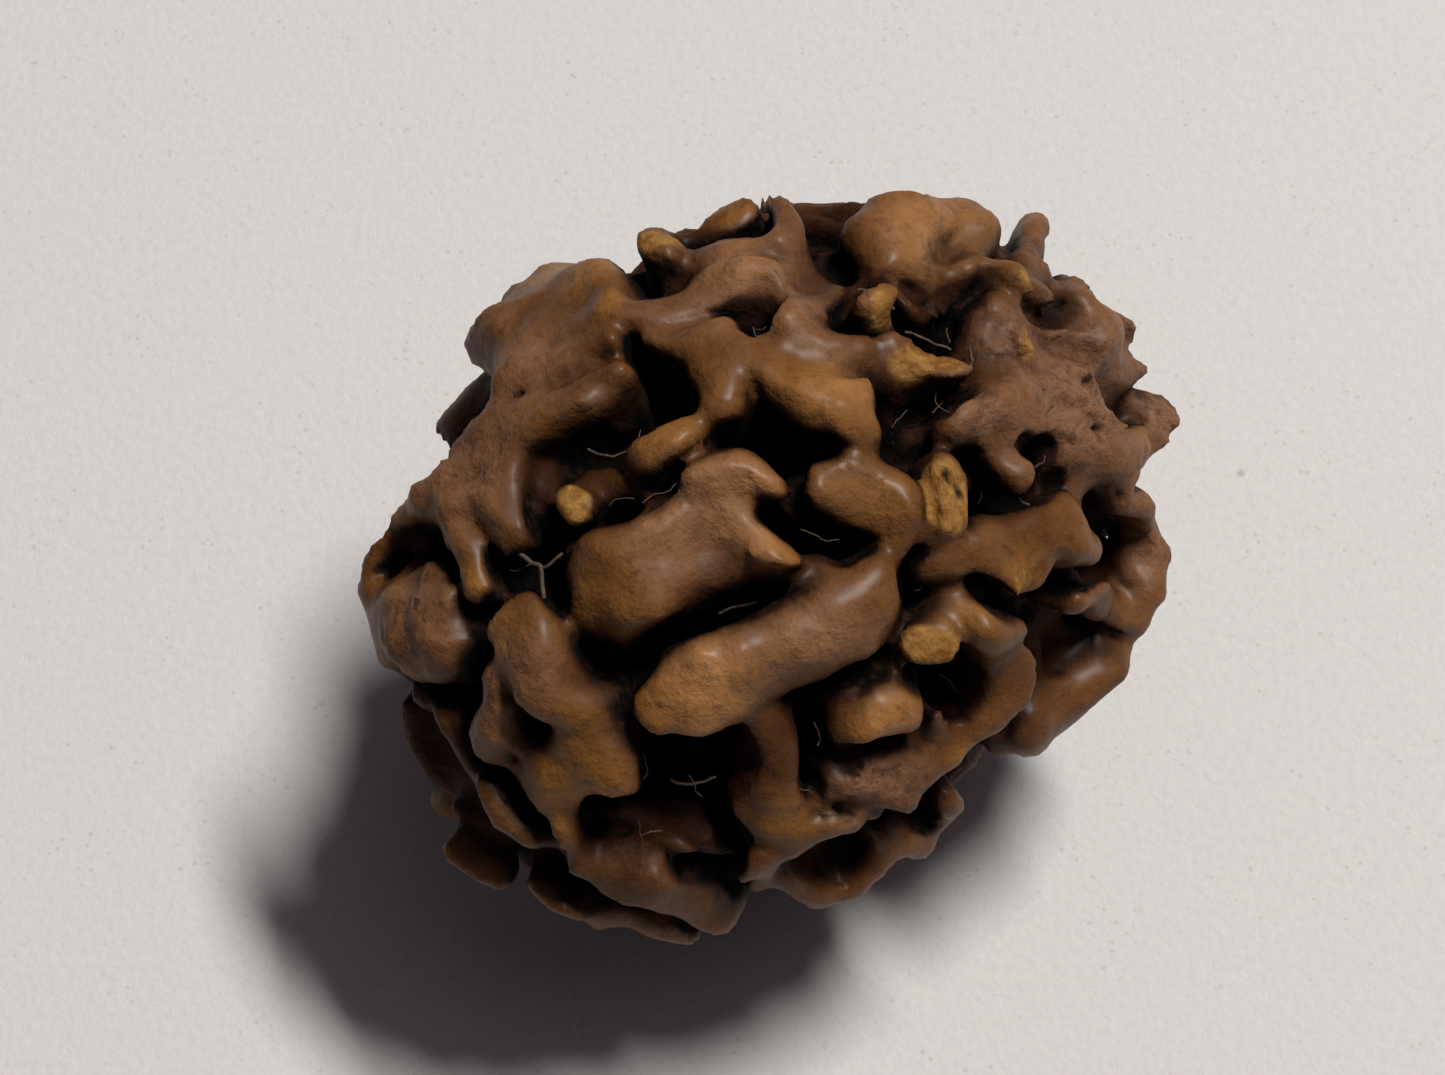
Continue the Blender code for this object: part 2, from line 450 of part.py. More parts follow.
def make_seed():
    """The stone: a fine ball raised by the relief, set on the table and thinned to few triangles."""
    bpy.ops.mesh.primitive_ico_sphere_add(subdivisions=SPHERE_LEVELS, radius=1.0)
    seed = bpy.context.object
    seed.name = "seed"
    seed.data.name = "seed"
    mesh = seed.data
    corners = np.empty(len(mesh.vertices) * 3, dtype=np.float32)
    mesh.vertices.foreach_get("co", corners)
    points = trace_surface(unit(corners.reshape(-1, 3).astype(float)))
    mesh.vertices.foreach_set("co", (points * MM).ravel())
    mesh.update()

    soften = seed.modifiers.new("soften", "SMOOTH")
    soften.factor = 0.5
    soften.iterations = SOFTEN_ROUNDS
    thin = seed.modifiers.new("thin", "DECIMATE")
    thin.ratio = TRIANGLES / len(mesh.polygons)
    thin.use_collapse_triangulate = True
    bpy.context.view_layer.update()
    graph = bpy.context.evaluated_depsgraph_get()
    thinned = bpy.data.meshes.new_from_object(seed.evaluated_get(graph))
    seed.modifiers.clear()
    seed.data = thinned
    bpy.data.meshes.remove(mesh)
    thinned.name = "seed"
    settle(thinned)
    thinned.shade_smooth()
    return seed


def settle(mesh):
    """Flattens the three feet and moves the origin to the centre of the box's underside."""
    shape = bmesh.new()
    shape.from_mesh(mesh)
    for corner in shape.verts:
        if corner.co.z < (REST_LEVEL + FOOT_SNAP) * MM:
            corner.co.z = REST_LEVEL * MM
    sides = [[corner.co[axis] for corner in shape.verts] for axis in range(2)]
    middle = [(min(side) + max(side)) / 2.0 for side in sides]
    bmesh.ops.translate(shape, verts=shape.verts, vec=(-middle[0], -middle[1], -REST_LEVEL * MM))
    shape.to_mesh(mesh)
    shape.free()


def make_material():
    shell = bpy.data.materials.new("seed_shell")
    shell.use_nodes = True
    surface = shell.node_tree.nodes["Principled BSDF"]
    surface.inputs["Base Color"].default_value = SHELL_COLOUR
    surface.inputs["Roughness"].default_value = SHELL_ROUGHNESS
    surface.inputs["Metallic"].default_value = 0.0
    return shell


def main():
    clear_scene()
    seed = make_seed()
    seed.data.materials.append(make_material())
    collection = bpy.data.collections.new("rudraksha_seed")
    bpy.context.scene.collection.children.link(collection)
    for other in list(seed.users_collection):
        other.objects.unlink(seed)
    collection.objects.link(seed)


main()
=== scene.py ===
import bpy
import math
import numpy as np
from mathutils import Matrix, Vector


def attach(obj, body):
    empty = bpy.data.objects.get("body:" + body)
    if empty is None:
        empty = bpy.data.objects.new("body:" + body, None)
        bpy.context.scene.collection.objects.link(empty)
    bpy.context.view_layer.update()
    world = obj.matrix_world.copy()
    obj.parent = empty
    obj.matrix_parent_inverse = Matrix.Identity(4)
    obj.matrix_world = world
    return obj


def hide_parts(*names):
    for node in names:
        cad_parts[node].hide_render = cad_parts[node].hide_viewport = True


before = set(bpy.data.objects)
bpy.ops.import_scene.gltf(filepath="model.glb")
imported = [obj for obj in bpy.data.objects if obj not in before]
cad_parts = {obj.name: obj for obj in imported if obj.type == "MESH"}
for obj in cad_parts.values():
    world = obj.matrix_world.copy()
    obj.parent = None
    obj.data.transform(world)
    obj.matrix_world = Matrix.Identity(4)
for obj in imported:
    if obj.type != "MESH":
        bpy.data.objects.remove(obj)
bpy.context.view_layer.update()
mm = 0.001

# The sight line that the ridges of the upper front were laid out along, and the photograph's camera.
sight = {
    "elevation": math.radians(60.0),
    "distance": 110.0,  # from the body's centre, mm
    "axis": (-1.25, 0.72),  # where the lens axis passes, on the plane that x and y are read on, mm
    "centre": (-0.45, 0.4),  # where the body's centre lies on that plane, mm
    "pictureWidth": 38.03,  # mm across the picture at the centre
    "sensor": 36.0,
    "nearest": 0.005,  # that the camera draws, m
}

body = {
    "semiAxes": np.array([11.75, 9.2, 9.5]),  # of the egg that the ridge tops reach, mm
    "turn": math.radians(46.0),
    "grooveDepth": 2.3,
    "frontGrooveRise": 0.6,
    "restLevel": -9.25,
    "pole": np.array([0.273, 0.428, 0.861]),
    "seams": 5,
    "firstSeam": math.radians(205.0),
    "seamHalfWidth": 0.25,
}

relief = {
    "corner": 1.0,
    "plateCorner": 1.15,
    "stubCorner": 0.15,
    "plateEnd": 0.6,  # how far behind the outline a plate runs out
    "ridgeBlend": 0.45,
    "swell": 0.13,  # slow rise and fall of the crests
    "swellPitch": 2.8,
    "swellWaves": 12,
    "floorBlend": 0.7,
    "undercut": 0.35,  # how far a wall draws in under its crest
    "undercutTop": 0.7,  # how far under the crest it starts to
    "undercutHeight": 1.4,
    "hollowMouth": 0.25,  # how much wider a hollow opens than its path says
    "hollowInset": 0.15,  # how much the whole cut is then drawn in
    "pitch": 4.8,  # of the labyrinth
    "waves": 24,
    "band": 0.75,
    "slope": 0.8,
    "widest": 1.2,
    "frontDrop": 1.0,  # how much lower it lies where the placed ridges are
    "dropSwell": 0.2,
    "dropWaves": 8,
    "limbEnd": 0.7,  # how far behind the limb the placed ridges count, and fade out
    "limbFade": 0.6,
    "warpReach": 0.13,
    "warpPitch": 3.0,
    "warpWaves": 9,
    "seed": 7,
}

# How far a ridge's top lies under the egg, then its spine as x, y and half-width, in mm.
ridges = [
    # long ridge under the middle plate, and the narrow one up to the oval bump
    (0.0, [(-2.9, -4.0, 0.6), (-1.8, -3.5, 0.95), (-0.5, -3.1, 1.05), (0.8, -2.4, 1.0), (2.0, -1.6, 1.0),
        (3.2, -0.9, 0.9)]),
    (0.7, [(3.4, -0.6, 0.6), (3.8, 0.4, 0.4), (3.75, 1.3, 0.4)]),
    (0.0, [(1.7, 2.2, 0.7), (2.4, 2.1, 0.9), (3.1, 1.75, 0.8)]),
    # upper middle: the plate above the bump, and the light net behind it
    (0.0, [(0.3, 4.9, 0.6), (1.3, 4.6, 0.65), (2.3, 4.3, 0.6), (2.8, 3.6, 0.4)]),
    (0.4, [(-2.6, 6.5, 0.7), (-1.7, 6.2, 0.6), (-1.3, 5.6, 0.55), (-0.7, 5.35, 0.5), (0.5, 5.75, 0.5),
        (1.5, 5.9, 0.5), (2.4, 5.7, 0.4), (3.1, 5.5, 0.4)]),
    (0.0, [(-1.2, 4.3, 0.6), (-1.2, 4.75, 0.65)]),
    (0.0, [(-3.2, 3.35, 0.6), (-2.3, 3.6, 0.6)]),
    (0.9, [(-3.4, 3.1, 0.4), (-4.6, 2.6, 0.35), (-5.2, 2.3, 0.4)]),
    # left shoulder: a wide ridge with two crests that run into the left plateau
    (0.1, [(-4.4, 6.05, 0.45), (-5.5, 5.75, 0.6), (-6.8, 5.3, 0.65), (-7.3, 4.9, 0.5)]),
    (0.0, [(-4.3, 5.1, 0.35), (-5.0, 4.85, 0.5), (-5.6, 4.5, 0.6), (-6.5, 4.1, 0.7), (-7.5, 3.6, 0.7),
        (-8.1, 3.0, 0.5)]),
    (0.3, [(-5.9, 5.15, 0.55), (-4.7, 5.6, 0.45)]),
    (0.1, [(-10.1, 1.25, 0.25), (-9.3, 1.65, 0.35), (-8.6, 2.15, 0.4)]),
    (0.2, [(-10.35, 0.7, 0.2), (-10.6, 0.1, 0.22), (-10.7, -0.5, 0.3)]),
    (0.3, [(-7.9, -0.35, 0.42), (-8.3, 0.4, 0.4)]),
    # lower left
    (0.3, [(-7.2, -1.9, 0.5), (-7.0, -2.3, 0.4)]),
    (0.1, [(-6.8, -1.1, 0.5), (-6.3, -2.0, 0.5), (-6.1, -2.9, 0.5), (-5.5, -3.7, 0.6)]),
    (0.1, [(-7.5, -3.5, 0.75), (-7.6, -4.6, 0.85)]),
    (0.4, [(-7.2, -3.1, 0.5), (-6.5, -2.7, 0.5)]),
    (0.6, [(-8.0, -6.2, 0.28), (-7.6, -7.0, 0.3), (-7.0, -7.5, 0.3), (-6.2, -7.8, 0.3)]),
    # lower middle: the upright ridge and its right arm
    (0.5, [(0.25, -4.6, 0.5), (0.35, -5.1, 0.5), (0.3, -5.8, 0.42), (0.3, -6.6, 0.42),
        (0.45, -7.4, 0.45), (0.5, -8.0, 0.4)]),
    (0.2, [(0.6, -7.8, 0.35), (1.4, -7.3, 0.35), (2.2, -7.2, 0.3), (3.0, -7.1, 0.3)]),
    (0.3, [(-4.9, -8.5, 0.55), (-3.5, -8.9, 0.7), (-2.2, -9.4, 0.65), (-1.0, -9.7, 0.5)]),
    (0.1, [(-5.6, -7.2, 0.25), (-5.5, -8.2, 0.3)]),
    (0.1, [(-6.3, -8.9, 0.3), (-5.6, -9.2, 0.3), (-4.4, -9.7, 0.35), (-3.0, -9.9, 0.35),
        (-2.1, -10.0, 0.4)]),
    (0.9, [(-10.5, -2.9, 0.3), (-10.1, -3.8, 0.3), (-9.3, -4.6, 0.3), (-8.9, -5.6, 0.3),
        (-8.4, -6.4, 0.3)]),
    (0.0, [(-8.4, -7.8, 0.35), (-7.5, -8.5, 0.35)]),
    (0.3, [(-0.7, -8.6, 0.2), (-0.2, -8.1, 0.2), (0.0, -8.5, 0.2), (-0.3, -9.1, 0.25)]),
    (0.2, [(0.5, -8.7, 0.35), (1.4, -9.0, 0.4), (2.3, -8.7, 0.4), (3.0, -8.0, 0.3)]),
    (0.2, [(3.2, -7.6, 0.3), (4.3, -7.5, 0.35), (5.0, -7.1, 0.45), (5.1, -6.6, 0.4)]),
    # lower right: hook ridge, big lobe and rim
    (0.0, [(5.5, -1.6, 0.45), (6.4, -2.0, 0.45), (6.7, -2.8, 0.42), (6.35, -3.7, 0.38),
        (5.8, -4.5, 0.38), (5.2, -5.2, 0.42)]),
    (0.55, [(5.1, -5.0, 0.3), (4.7, -4.3, 0.26)]),
    (0.0, [(9.2, -1.9, 0.7), (9.0, -2.9, 1.0), (8.4, -3.7, 1.1), (7.5, -4.4, 0.85)]),
    (0.0, [(5.0, 0.0, 0.5), (6.0, 0.3, 0.65), (7.0, 0.55, 0.7), (8.0, 0.8, 0.65), (8.8, 0.7, 0.5)]),
    (0.4, [(5.1, -0.1, 0.4), (5.2, -1.3, 0.4), (4.7, -1.9, 0.4)]),
    (0.0, [(9.5, 1.7, 0.35), (10.25, 1.2, 0.4), (10.5, 0.2, 0.42), (10.35, -0.7, 0.42), (9.8, -1.4, 0.4),
        (9.0, -1.2, 0.4), (8.3, -0.9, 0.35)]),
    # right
    (0.1, [(5.2, 3.4, 0.4), (6.3, 4.1, 0.5), (7.2, 4.4, 0.55), (8.2, 4.3, 0.6), (9.1, 3.8, 0.5),
        (9.5, 3.5, 0.45)]),
    (0.2, [(6.3, 3.0, 0.45), (6.8, 2.8, 0.55), (6.8, 2.45, 0.4)]),
    (0.0, [(8.6, 2.7, 0.65), (9.4, 2.8, 0.65), (10.1, 3.0, 0.6)]),
    (0.3, [(8.8, 2.2, 0.4), (8.7, 1.6, 0.35)]),
    (0.2, [(7.6, 5.1, 0.5), (8.6, 5.2, 0.5)]),
    (0.0, [(8.0, 7.2, 0.5), (8.3, 7.5, 0.45)]),
    (0.0, [(8.8, 6.1, 0.8), (9.6, 6.2, 0.75)]),
    (0.0, [(9.4, 5.2, 0.5), (9.8, 5.3, 0.45)]),
    (0.0, [(10.0, 4.0, 0.6), (10.5, 4.05, 0.55)]),
    (0.0, [(7.3, 9.0, 0.4), (7.25, 8.2, 0.45), (7.2, 7.5, 0.4)]),
    # top left and top
    (0.0, [(-7.2, 5.7, 0.65), (-7.2, 6.5, 0.75), (-7.0, 7.2, 0.65)]),
    (0.35, [(-2.6, 8.3, 0.5), (-1.2, 8.7, 0.55), (0.0, 8.9, 0.5)]),
    (0.3, [(-5.8, 6.5, 0.5), (-4.2, 6.9, 0.7), (-2.8, 7.3, 0.8), (-1.2, 7.9, 0.75), (0.4, 8.0, 0.7),
        (1.7, 7.9, 0.5)]),
    (0.0, [(-1.4, 9.5, 0.5), (-0.9, 9.7, 0.45)]),
    (0.1, [(0.3, 9.7, 0.4), (0.4, 8.8, 0.4)]),
    (0.2, [(-2.7, 8.9, 0.4), (-1.8, 9.3, 0.4)]),
    (0.0, [(3.3, 9.5, 0.5), (5.1, 9.6, 0.5)]),
    (0.3, [(-8.1, 3.4, 0.4), (-7.6, 4.1, 0.4)]),
    (0.0, [(-10.8, -0.9, 0.5), (-10.7, -2.1, 0.5)]),
    (0.1, [(0.9, 6.8, 0.6), (1.4, 7.4, 0.5)]),
    (0.2, [(0.6, 6.4, 0.4), (1.6, 6.3, 0.4)]),
]

# How far a plate's top lies under the egg, then its outline as x and y, in mm.
plates = [
    # the big middle plate, curled round a pocket at its upper right
    (0.0, [(-5.6, 0.6), (-4.6, 0.8), (-3.7, 1.5), (-2.6, 2.0), (-2.3, 2.5), (-1.6, 3.0), (-0.9, 3.05),
        (0.2, 2.6), (0.6, 2.3), (0.1, 1.95), (-0.3, 1.85), (-0.5, 1.5), (0.0, 1.0), (1.3, 0.0),
        (0.6, -0.4), (-0.5, -0.7), (-1.5, -1.0), (-2.5, -1.5), (-3.2, -2.1), (-3.9, -2.3), (-4.9, -1.8),
        (-5.5, -1.6), (-5.3, -0.6)]),
    # left edge
    (0.0, [(-10.9, -1.2), (-10.6, -0.5), (-9.5, 0.2), (-8.6, -0.4), (-8.4, -2.2), (-9.0, -2.9),
        (-9.8, -3.1), (-10.4, -2.6)]),
    # lower left
    (0.0, [(-5.9, -4.4), (-5.5, -3.6), (-4.8, -3.4), (-4.2, -3.8), (-3.9, -4.6), (-3.7, -5.6),
        (-3.6, -6.3), (-4.2, -6.6), (-5.0, -6.5), (-5.4, -6.9), (-6.0, -7.0), (-6.6, -6.5), (-6.9, -5.8),
        (-6.7, -5.2), (-6.2, -4.9)]),
    # the two knobs of the lower right
    (0.0, [(1.9, -4.9), (2.2, -4.0), (2.8, -3.4), (3.6, -3.0), (4.3, -3.5), (4.2, -4.5), (3.4, -4.95),
        (2.4, -5.1)]),
    (0.1, [(1.6, -5.8), (3.0, -5.4), (4.2, -5.0), (5.4, -5.0), (5.2, -5.6), (4.4, -6.3), (3.8, -7.0),
        (2.5, -7.0), (1.8, -6.6)]),
    # top right lobe and the pitted one at the top left
    (0.0, [(2.0, 8.9), (3.2, 10.0), (5.2, 10.0), (6.2, 9.2), (6.6, 8.4), (6.2, 7.7), (5.6, 7.5),
        (4.6, 7.8), (3.7, 8.2), (3.0, 8.2)]),
    (0.1, [(-7.9, 6.2), (-7.6, 7.3), (-7.0, 8.0), (-5.9, 8.5), (-4.5, 8.1), (-3.9, 7.9), (-4.0, 7.0),
        (-5.5, 6.6), (-5.9, 5.9), (-6.9, 5.3), (-7.6, 5.3)]),
    # left plateau
    (0.0, [(-8.7, 3.3), (-8.0, 4.1), (-7.0, 4.3), (-6.6, 3.6), (-6.9, 2.4), (-6.9, 1.3), (-7.5, 0.7),
        (-8.1, 1.0), (-8.8, 0.4), (-9.1, 1.0), (-9.0, 2.2)]),
    # the rough plateau of the right, under its knobs
    (0.45, [(5.9, 6.6), (6.6, 7.1), (7.4, 7.4), (8.3, 7.2), (9.3, 6.4), (9.7, 5.3), (9.9, 4.3),
        (9.2, 3.6), (7.6, 3.8), (6.2, 3.6), (5.6, 4.2), (5.9, 5.2)]),
]

# Broken ends of fibre bundles: round stubs with flat tops.
stubs = [
    (0.0, [(4.75, 1.4, 0.6), (4.75, 2.2, 0.6)]),
    (0.1, [(4.15, -2.2, 0.48), (4.6, -2.2, 0.48)]),
    (0.1, [(3.8, 5.5, 0.48), (4.8, 5.55, 0.5)]),
    (0.1, [(3.05, 6.8, 0.48), (3.15, 6.8, 0.48)]),
    (0.1, [(6.6, 7.4, 0.33), (6.6, 7.5, 0.33)]),
    (0.0, [(7.0, 5.9, 0.35), (7.0, 6.0, 0.35)]),
    (0.2, [(-5.4, 1.6, 0.42), (-5.4, 1.95, 0.45)]),
    (0.1, [(-3.0, 8.45, 0.5), (-2.8, 8.5, 0.5)]),
    (0.1, [(6.65, -0.4, 0.42), (7.1, -0.3, 0.45)]),
]

# Dark cavities: how deep under the egg each is cut, then its path as x, y and half-width, in mm.
hollows = [
    (3.6, [(-3.3, 5.6, 0.6), (-2.7, 4.7, 0.7)]),
    (3.2, [(-0.45, 6.9, 0.25), (-0.4, 6.2, 0.35)]),
    (3.0, [(-3.6, 2.6, 0.4), (-2.9, 2.65, 0.4)]),
    (3.0, [(-4.8, 1.6, 0.3), (-4.4, 1.7, 0.3)]),
    (3.4, [(-1.6, 3.6, 0.3), (-0.4, 3.7, 0.45), (1.0, 3.5, 0.45), (2.3, 3.2, 0.3)]),
    (3.0, [(1.1, 1.0, 0.3), (2.2, 0.6, 0.4), (2.8, 0.3, 0.3)]),
    (2.2, [(0.0, 1.6, 0.25), (0.4, 1.4, 0.25)]),
    (3.2, [(-3.3, -2.9, 0.35), (-2.0, -2.1, 0.35), (-0.6, -1.5, 0.3), (0.6, -0.8, 0.25)]),
    (3.0, [(-4.9, -2.6, 0.4), (-4.3, -2.7, 0.35)]),
    (3.6, [(-2.9, -5.1, 0.6), (-1.5, -5.4, 0.8), (-0.8, -6.0, 0.5)]),
    (3.2, [(-3.1, -6.0, 0.5), (-1.6, -6.5, 0.6)]),
    (3.2, [(-5.0, -7.1, 0.25), (-3.2, -7.2, 0.5), (-1.7, -7.5, 0.5), (-0.8, -7.8, 0.45)]),
    (3.2, [(1.15, -5.0, 0.3), (1.1, -6.3, 0.3)]),
    (3.2, [(1.3, -3.8, 0.35), (2.0, -3.0, 0.3), (3.2, -2.3, 0.3)]),
    (2.6, [(1.9, -5.3, 0.15), (3.0, -5.25, 0.15)]),
    (3.4, [(5.6, 1.2, 0.3), (6.9, 1.8, 0.4), (7.7, 2.3, 0.4), (7.9, 3.2, 0.3)]),
    (2.6, [(-7.9, -1.3, 0.35), (-7.9, -2.4, 0.2)]),
    (2.6, [(-9.6, -3.6, 0.3), (-8.8, -4.4, 0.25), (-8.5, -5.9, 0.3)]),
    (2.4, [(-9.9, 0.9, 0.35), (-9.5, 0.7, 0.3)]),
    (2.8, [(-6.5, 1.6, 0.3), (-6.5, 0.6, 0.4), (-6.3, -0.4, 0.35)]),
    (2.4, [(-5.8, 3.4, 0.35), (-4.5, 3.8, 0.35), (-3.9, 4.3, 0.35)]),
    (2.8, [(2.8, 7.9, 0.25), (3.5, 7.4, 0.3)]),
    (2.8, [(4.3, 7.0, 0.3), (5.4, 6.7, 0.3)]),
    (2.0, [(4.9, 4.6, 0.35), (5.3, 4.9, 0.35)]),
    (2.2, [(3.9, 3.1, 0.25), (3.9, 4.4, 0.25)]),
    (3.0, [(5.3, -3.8, 0.4), (5.5, -2.8, 0.45)]),
    (2.8, [(7.5, -1.5, 0.3), (7.7, -2.4, 0.35)]),
    (2.6, [(9.4, 0.4, 0.4), (9.5, -0.4, 0.35)]),
    (2.2, [(4.2, -0.6, 0.2), (4.3, -1.4, 0.2)]),
    (2.4, [(6.1, -1.1, 0.25), (7.2, -1.3, 0.25)]),
    (2.4, [(-3.1, 7.9, 0.2), (-2.6, 7.9, 0.2)]),
    (2.4, [(-7.4, -6.2, 0.25), (-7.1, -6.7, 0.25)]),
    (1.6, [(-5.9, 6.8, 0.12), (-5.9, 6.2, 0.15)]),
    (1.6, [(5.9, 7.2, 0.3), (6.1, 6.9, 0.25)]),
    # where the outline falls in
    (1.8, [(-0.4, 10.0, 0.6), (0.9, 10.0, 0.7), (1.9, 10.0, 0.6)]),
    (1.6, [(-4.3, 8.6, 0.5), (-3.2, 9.1, 0.4)]),
    (1.7, [(-7.7, 4.8, 0.3), (-8.4, 4.6, 0.5), (-9.1, 3.6, 0.5)]),
    (2.3, [(3.9, -8.7, 0.6), (5.6, -8.0, 0.7)]),
    (2.0, [(6.3, -6.2, 0.5), (6.2, -5.3, 0.3)]),
]

feet = {
    "radius": 3.7,
    "bearings": [20.0, 140.0, 260.0],
    "halfWidth": 0.95,
    "overshoot": 0.4,
    "hollowRadius": 2.6,
    "hollowDepth": 1.0,
}

right = np.array([1.0, 0.0, 0.0])
sightUp = np.array([0.0, math.sin(sight["elevation"]), math.cos(sight["elevation"])])
towardEye = np.array([0.0, -math.cos(sight["elevation"]), math.sin(sight["elevation"])])
shift = [sight["axis"][i] - sight["centre"][i] for i in range(2)]
eye = shift[0] * right + shift[1] * sightUp + sight["distance"] * towardEye
bodyAxes = np.array([
    [math.cos(body["turn"]), math.sin(body["turn"]), 0.0],
    [-math.sin(body["turn"]), math.cos(body["turn"]), 0.0],
    [0.0, 0.0, 1.0],
])


def share(values):  # held between none and all
    return np.clip(values, 0.0, 1.0)


def length(vectors):
    return np.linalg.norm(vectors, axis=-1)


def unit(vectors):
    return vectors / length(vectors)[..., None]


def crestHeight(points):
    scaled = points @ bodyAxes.T / body["semiAxes"]
    size = length(scaled)
    slope = length(scaled / body["semiAxes"])
    return (size - 1.0) * size / np.maximum(slope, 1e-6)


def crestNormal(points):
    return unit(points @ bodyAxes.T / body["semiAxes"] ** 2 @ bodyAxes)


def onCrest(x, y):  # where the sight line through x, y meets the egg, or passes closest to it
    spot = (x - sight["centre"][0]) * right + (y - sight["centre"][1]) * sightUp
    ray = unit(spot - eye)
    start = bodyAxes @ eye / body["semiAxes"]
    way = bodyAxes @ ray / body["semiAxes"]
    square = way @ way
    half = start @ way
    rest = half * half - square * (start @ start - 1.0)
    return eye + ray * (-half - math.sqrt(max(rest, 0.0))) / square


def blend(first, second, width):  # union of two distances, with a fillet
    near = np.maximum(width - np.abs(first - second), 0.0) / width
    return np.minimum(first, second) - near * near * width * 0.25


def wall(side, rise, corner):  # distance to a wall with a rounded top that draws in under its crest
    under = share((-rise - relief["undercutTop"]) / relief["undercutHeight"])
    side = side + relief["undercut"] * under
    across = side + corner
    over = rise + corner
    outer = np.hypot(np.maximum(across, 0.0), np.maximum(over, 0.0))
    return outer + np.minimum(np.maximum(across, over), 0.0) - corner


def waves(points, pitch, count, draw):  # smooth random field: a sum of plane waves of one pitch
    total = np.zeros(len(points), dtype=np.float32)
    for _ in range(count):
        direction = unit(draw.normal(size=3))
        phase = draw.uniform(0.0, math.tau)
        total += np.cos(points @ (direction * math.tau / pitch).astype(np.float32) + np.float32(phase))
    return total * np.float32(math.sqrt(2.0 / count))


def offSpine(points, start, end):  # how far along a spine the points lie, and how far beside its width
    foot, footWidth = start
    tip, tipWidth = end
    normal = crestNormal((foot + tip) / 2.0)
    run = (tip - foot) - (tip - foot) @ normal * normal
    way = points - foot
    way = way - (way @ normal)[..., None] * normal
    along = share(way @ run / max(run @ run, 1e-9))
    side = length(way - along[..., None] * run)
    return along, side - (footWidth + along * (tipWidth - footWidth))


def spineDistance(points, height, start, end, top, corner):
    along, side = offSpine(points, start, end)
    level = crestHeight(start[0][None])[0] * (1.0 - along) + crestHeight(end[0][None])[0] * along
    return wall(side, height - level + top, min(corner, 0.95 * min(start[1], end[1])))


def plateDistance(points, height, outline, top, corner):
    middle = outline.mean(axis=0)
    normal = crestNormal(middle)
    across = unit(np.cross(sightUp, normal))
    upward = np.cross(normal, across)
    flatX = (points - middle) @ across
    flatY = (points - middle) @ upward
    corners = np.stack([(outline - middle) @ across, (outline - middle) @ upward], axis=-1)
    nearest = np.full(flatX.shape, 1e9)
    inside = np.zeros(flatX.shape, dtype=bool)
    for first, second in zip(corners, np.roll(corners, -1, axis=0)):
        edge = second - first
        wayX = flatX - first[0]
        wayY = flatY - first[1]
        along = share((wayX * edge[0] + wayY * edge[1]) / (edge @ edge))
        nearest = np.minimum(nearest, np.hypot(wayX - along * edge[0], wayY - along * edge[1]))
        crosses = (first[1] > flatY) != (second[1] > flatY)
        rise = edge[1] if edge[1] else 1e-9
        inside ^= crosses & (wayX < edge[0] * wayY / rise)
    side = np.where(inside, -nearest, nearest) + np.maximum(-(points @ towardEye) - relief["plateEnd"], 0.0)
    level = max(0.0, crestHeight(outline).mean())
    return wall(side, height - level + top, corner)


def facing(points):  # one where the sight line reaches, falling to none behind the limb
    return share((crestNormal(points) @ towardEye + relief["limbEnd"]) / relief["limbFade"])


def labyrinthDistance(points, height):
    draw = np.random.default_rng(relief["seed"] + 1)
    field = waves(points, relief["pitch"], relief["waves"], draw)
    side = np.clip((np.abs(field) - relief["band"]) * relief["slope"], -relief["widest"], relief["widest"])
    turned = points - (points @ body["pole"])[:, None] * body["pole"]
    first = unit(np.cross(body["pole"], right))
    second = np.cross(body["pole"], first)
    bearing = np.arctan2(turned @ second, turned @ first) - body["firstSeam"]
    step = math.tau / body["seams"]
    offSeam = np.abs((bearing + step / 2.0) % step - step / 2.0)
    seamWay = np.sin(offSeam) * length(turned)
    side = -blend(-side, seamWay - body["seamHalfWidth"], relief["floorBlend"])
    drop = relief["frontDrop"] * facing(points)
    drop += relief["dropSwell"] * waves(points, relief["pitch"], relief["dropWaves"], draw)
    reach = length(points[:, :2]) / feet["hollowRadius"]
    drop += np.where(points[:, 2] < 0.0, feet["hollowDepth"] * np.exp(-reach ** 2), 0.0)
    return wall(side, height + np.maximum(drop, 0.0), relief["corner"])


def hollowDistance(points, height, start, end, depth):
    side = offSpine(points, start, end)[1] - relief["hollowMouth"]
    return np.maximum(side, -(height + depth)) + relief["hollowInset"]


def pathPieces(paths):  # each straight part: its middle, its reach, its two ends and the path's depth
    for depth, path in paths:
        knots = [(onCrest(x, y), width) for x, y, width in path]
        for start, end in zip(knots, knots[1:]):
            reach = np.linalg.norm(end[0] - start[0]) / 2.0 + max(start[1], end[1])
            yield (start[0] + end[0]) / 2.0, reach, start, end, depth


def reliefPieces():
    pieces = []
    for corner, spines in ((relief["corner"], ridges), (relief["stubCorner"], stubs)):
        for middle, reach, start, end, top in pathPieces(spines):
            pieces.append((middle, reach, spineDistance, (start, end, top, corner)))
    for top, outline in plates:
        corners = np.array([onCrest(x, y) for x, y in outline])
        middle = corners.mean(axis=0)
        reach = length(corners - middle).max()
        pieces.append((middle, reach, plateDistance, (corners, top, relief["plateCorner"])))
    for bearing in np.radians(feet["bearings"]):
        foot = np.array([math.cos(bearing), math.sin(bearing), 0.0]) * feet["radius"]
        foot[2] = body["restLevel"] - feet["overshoot"]
        knot = (foot, feet["halfWidth"])
        pieces.append((foot, feet["halfWidth"], spineDistance, (knot, knot, 0.0, relief["corner"])))
    return pieces


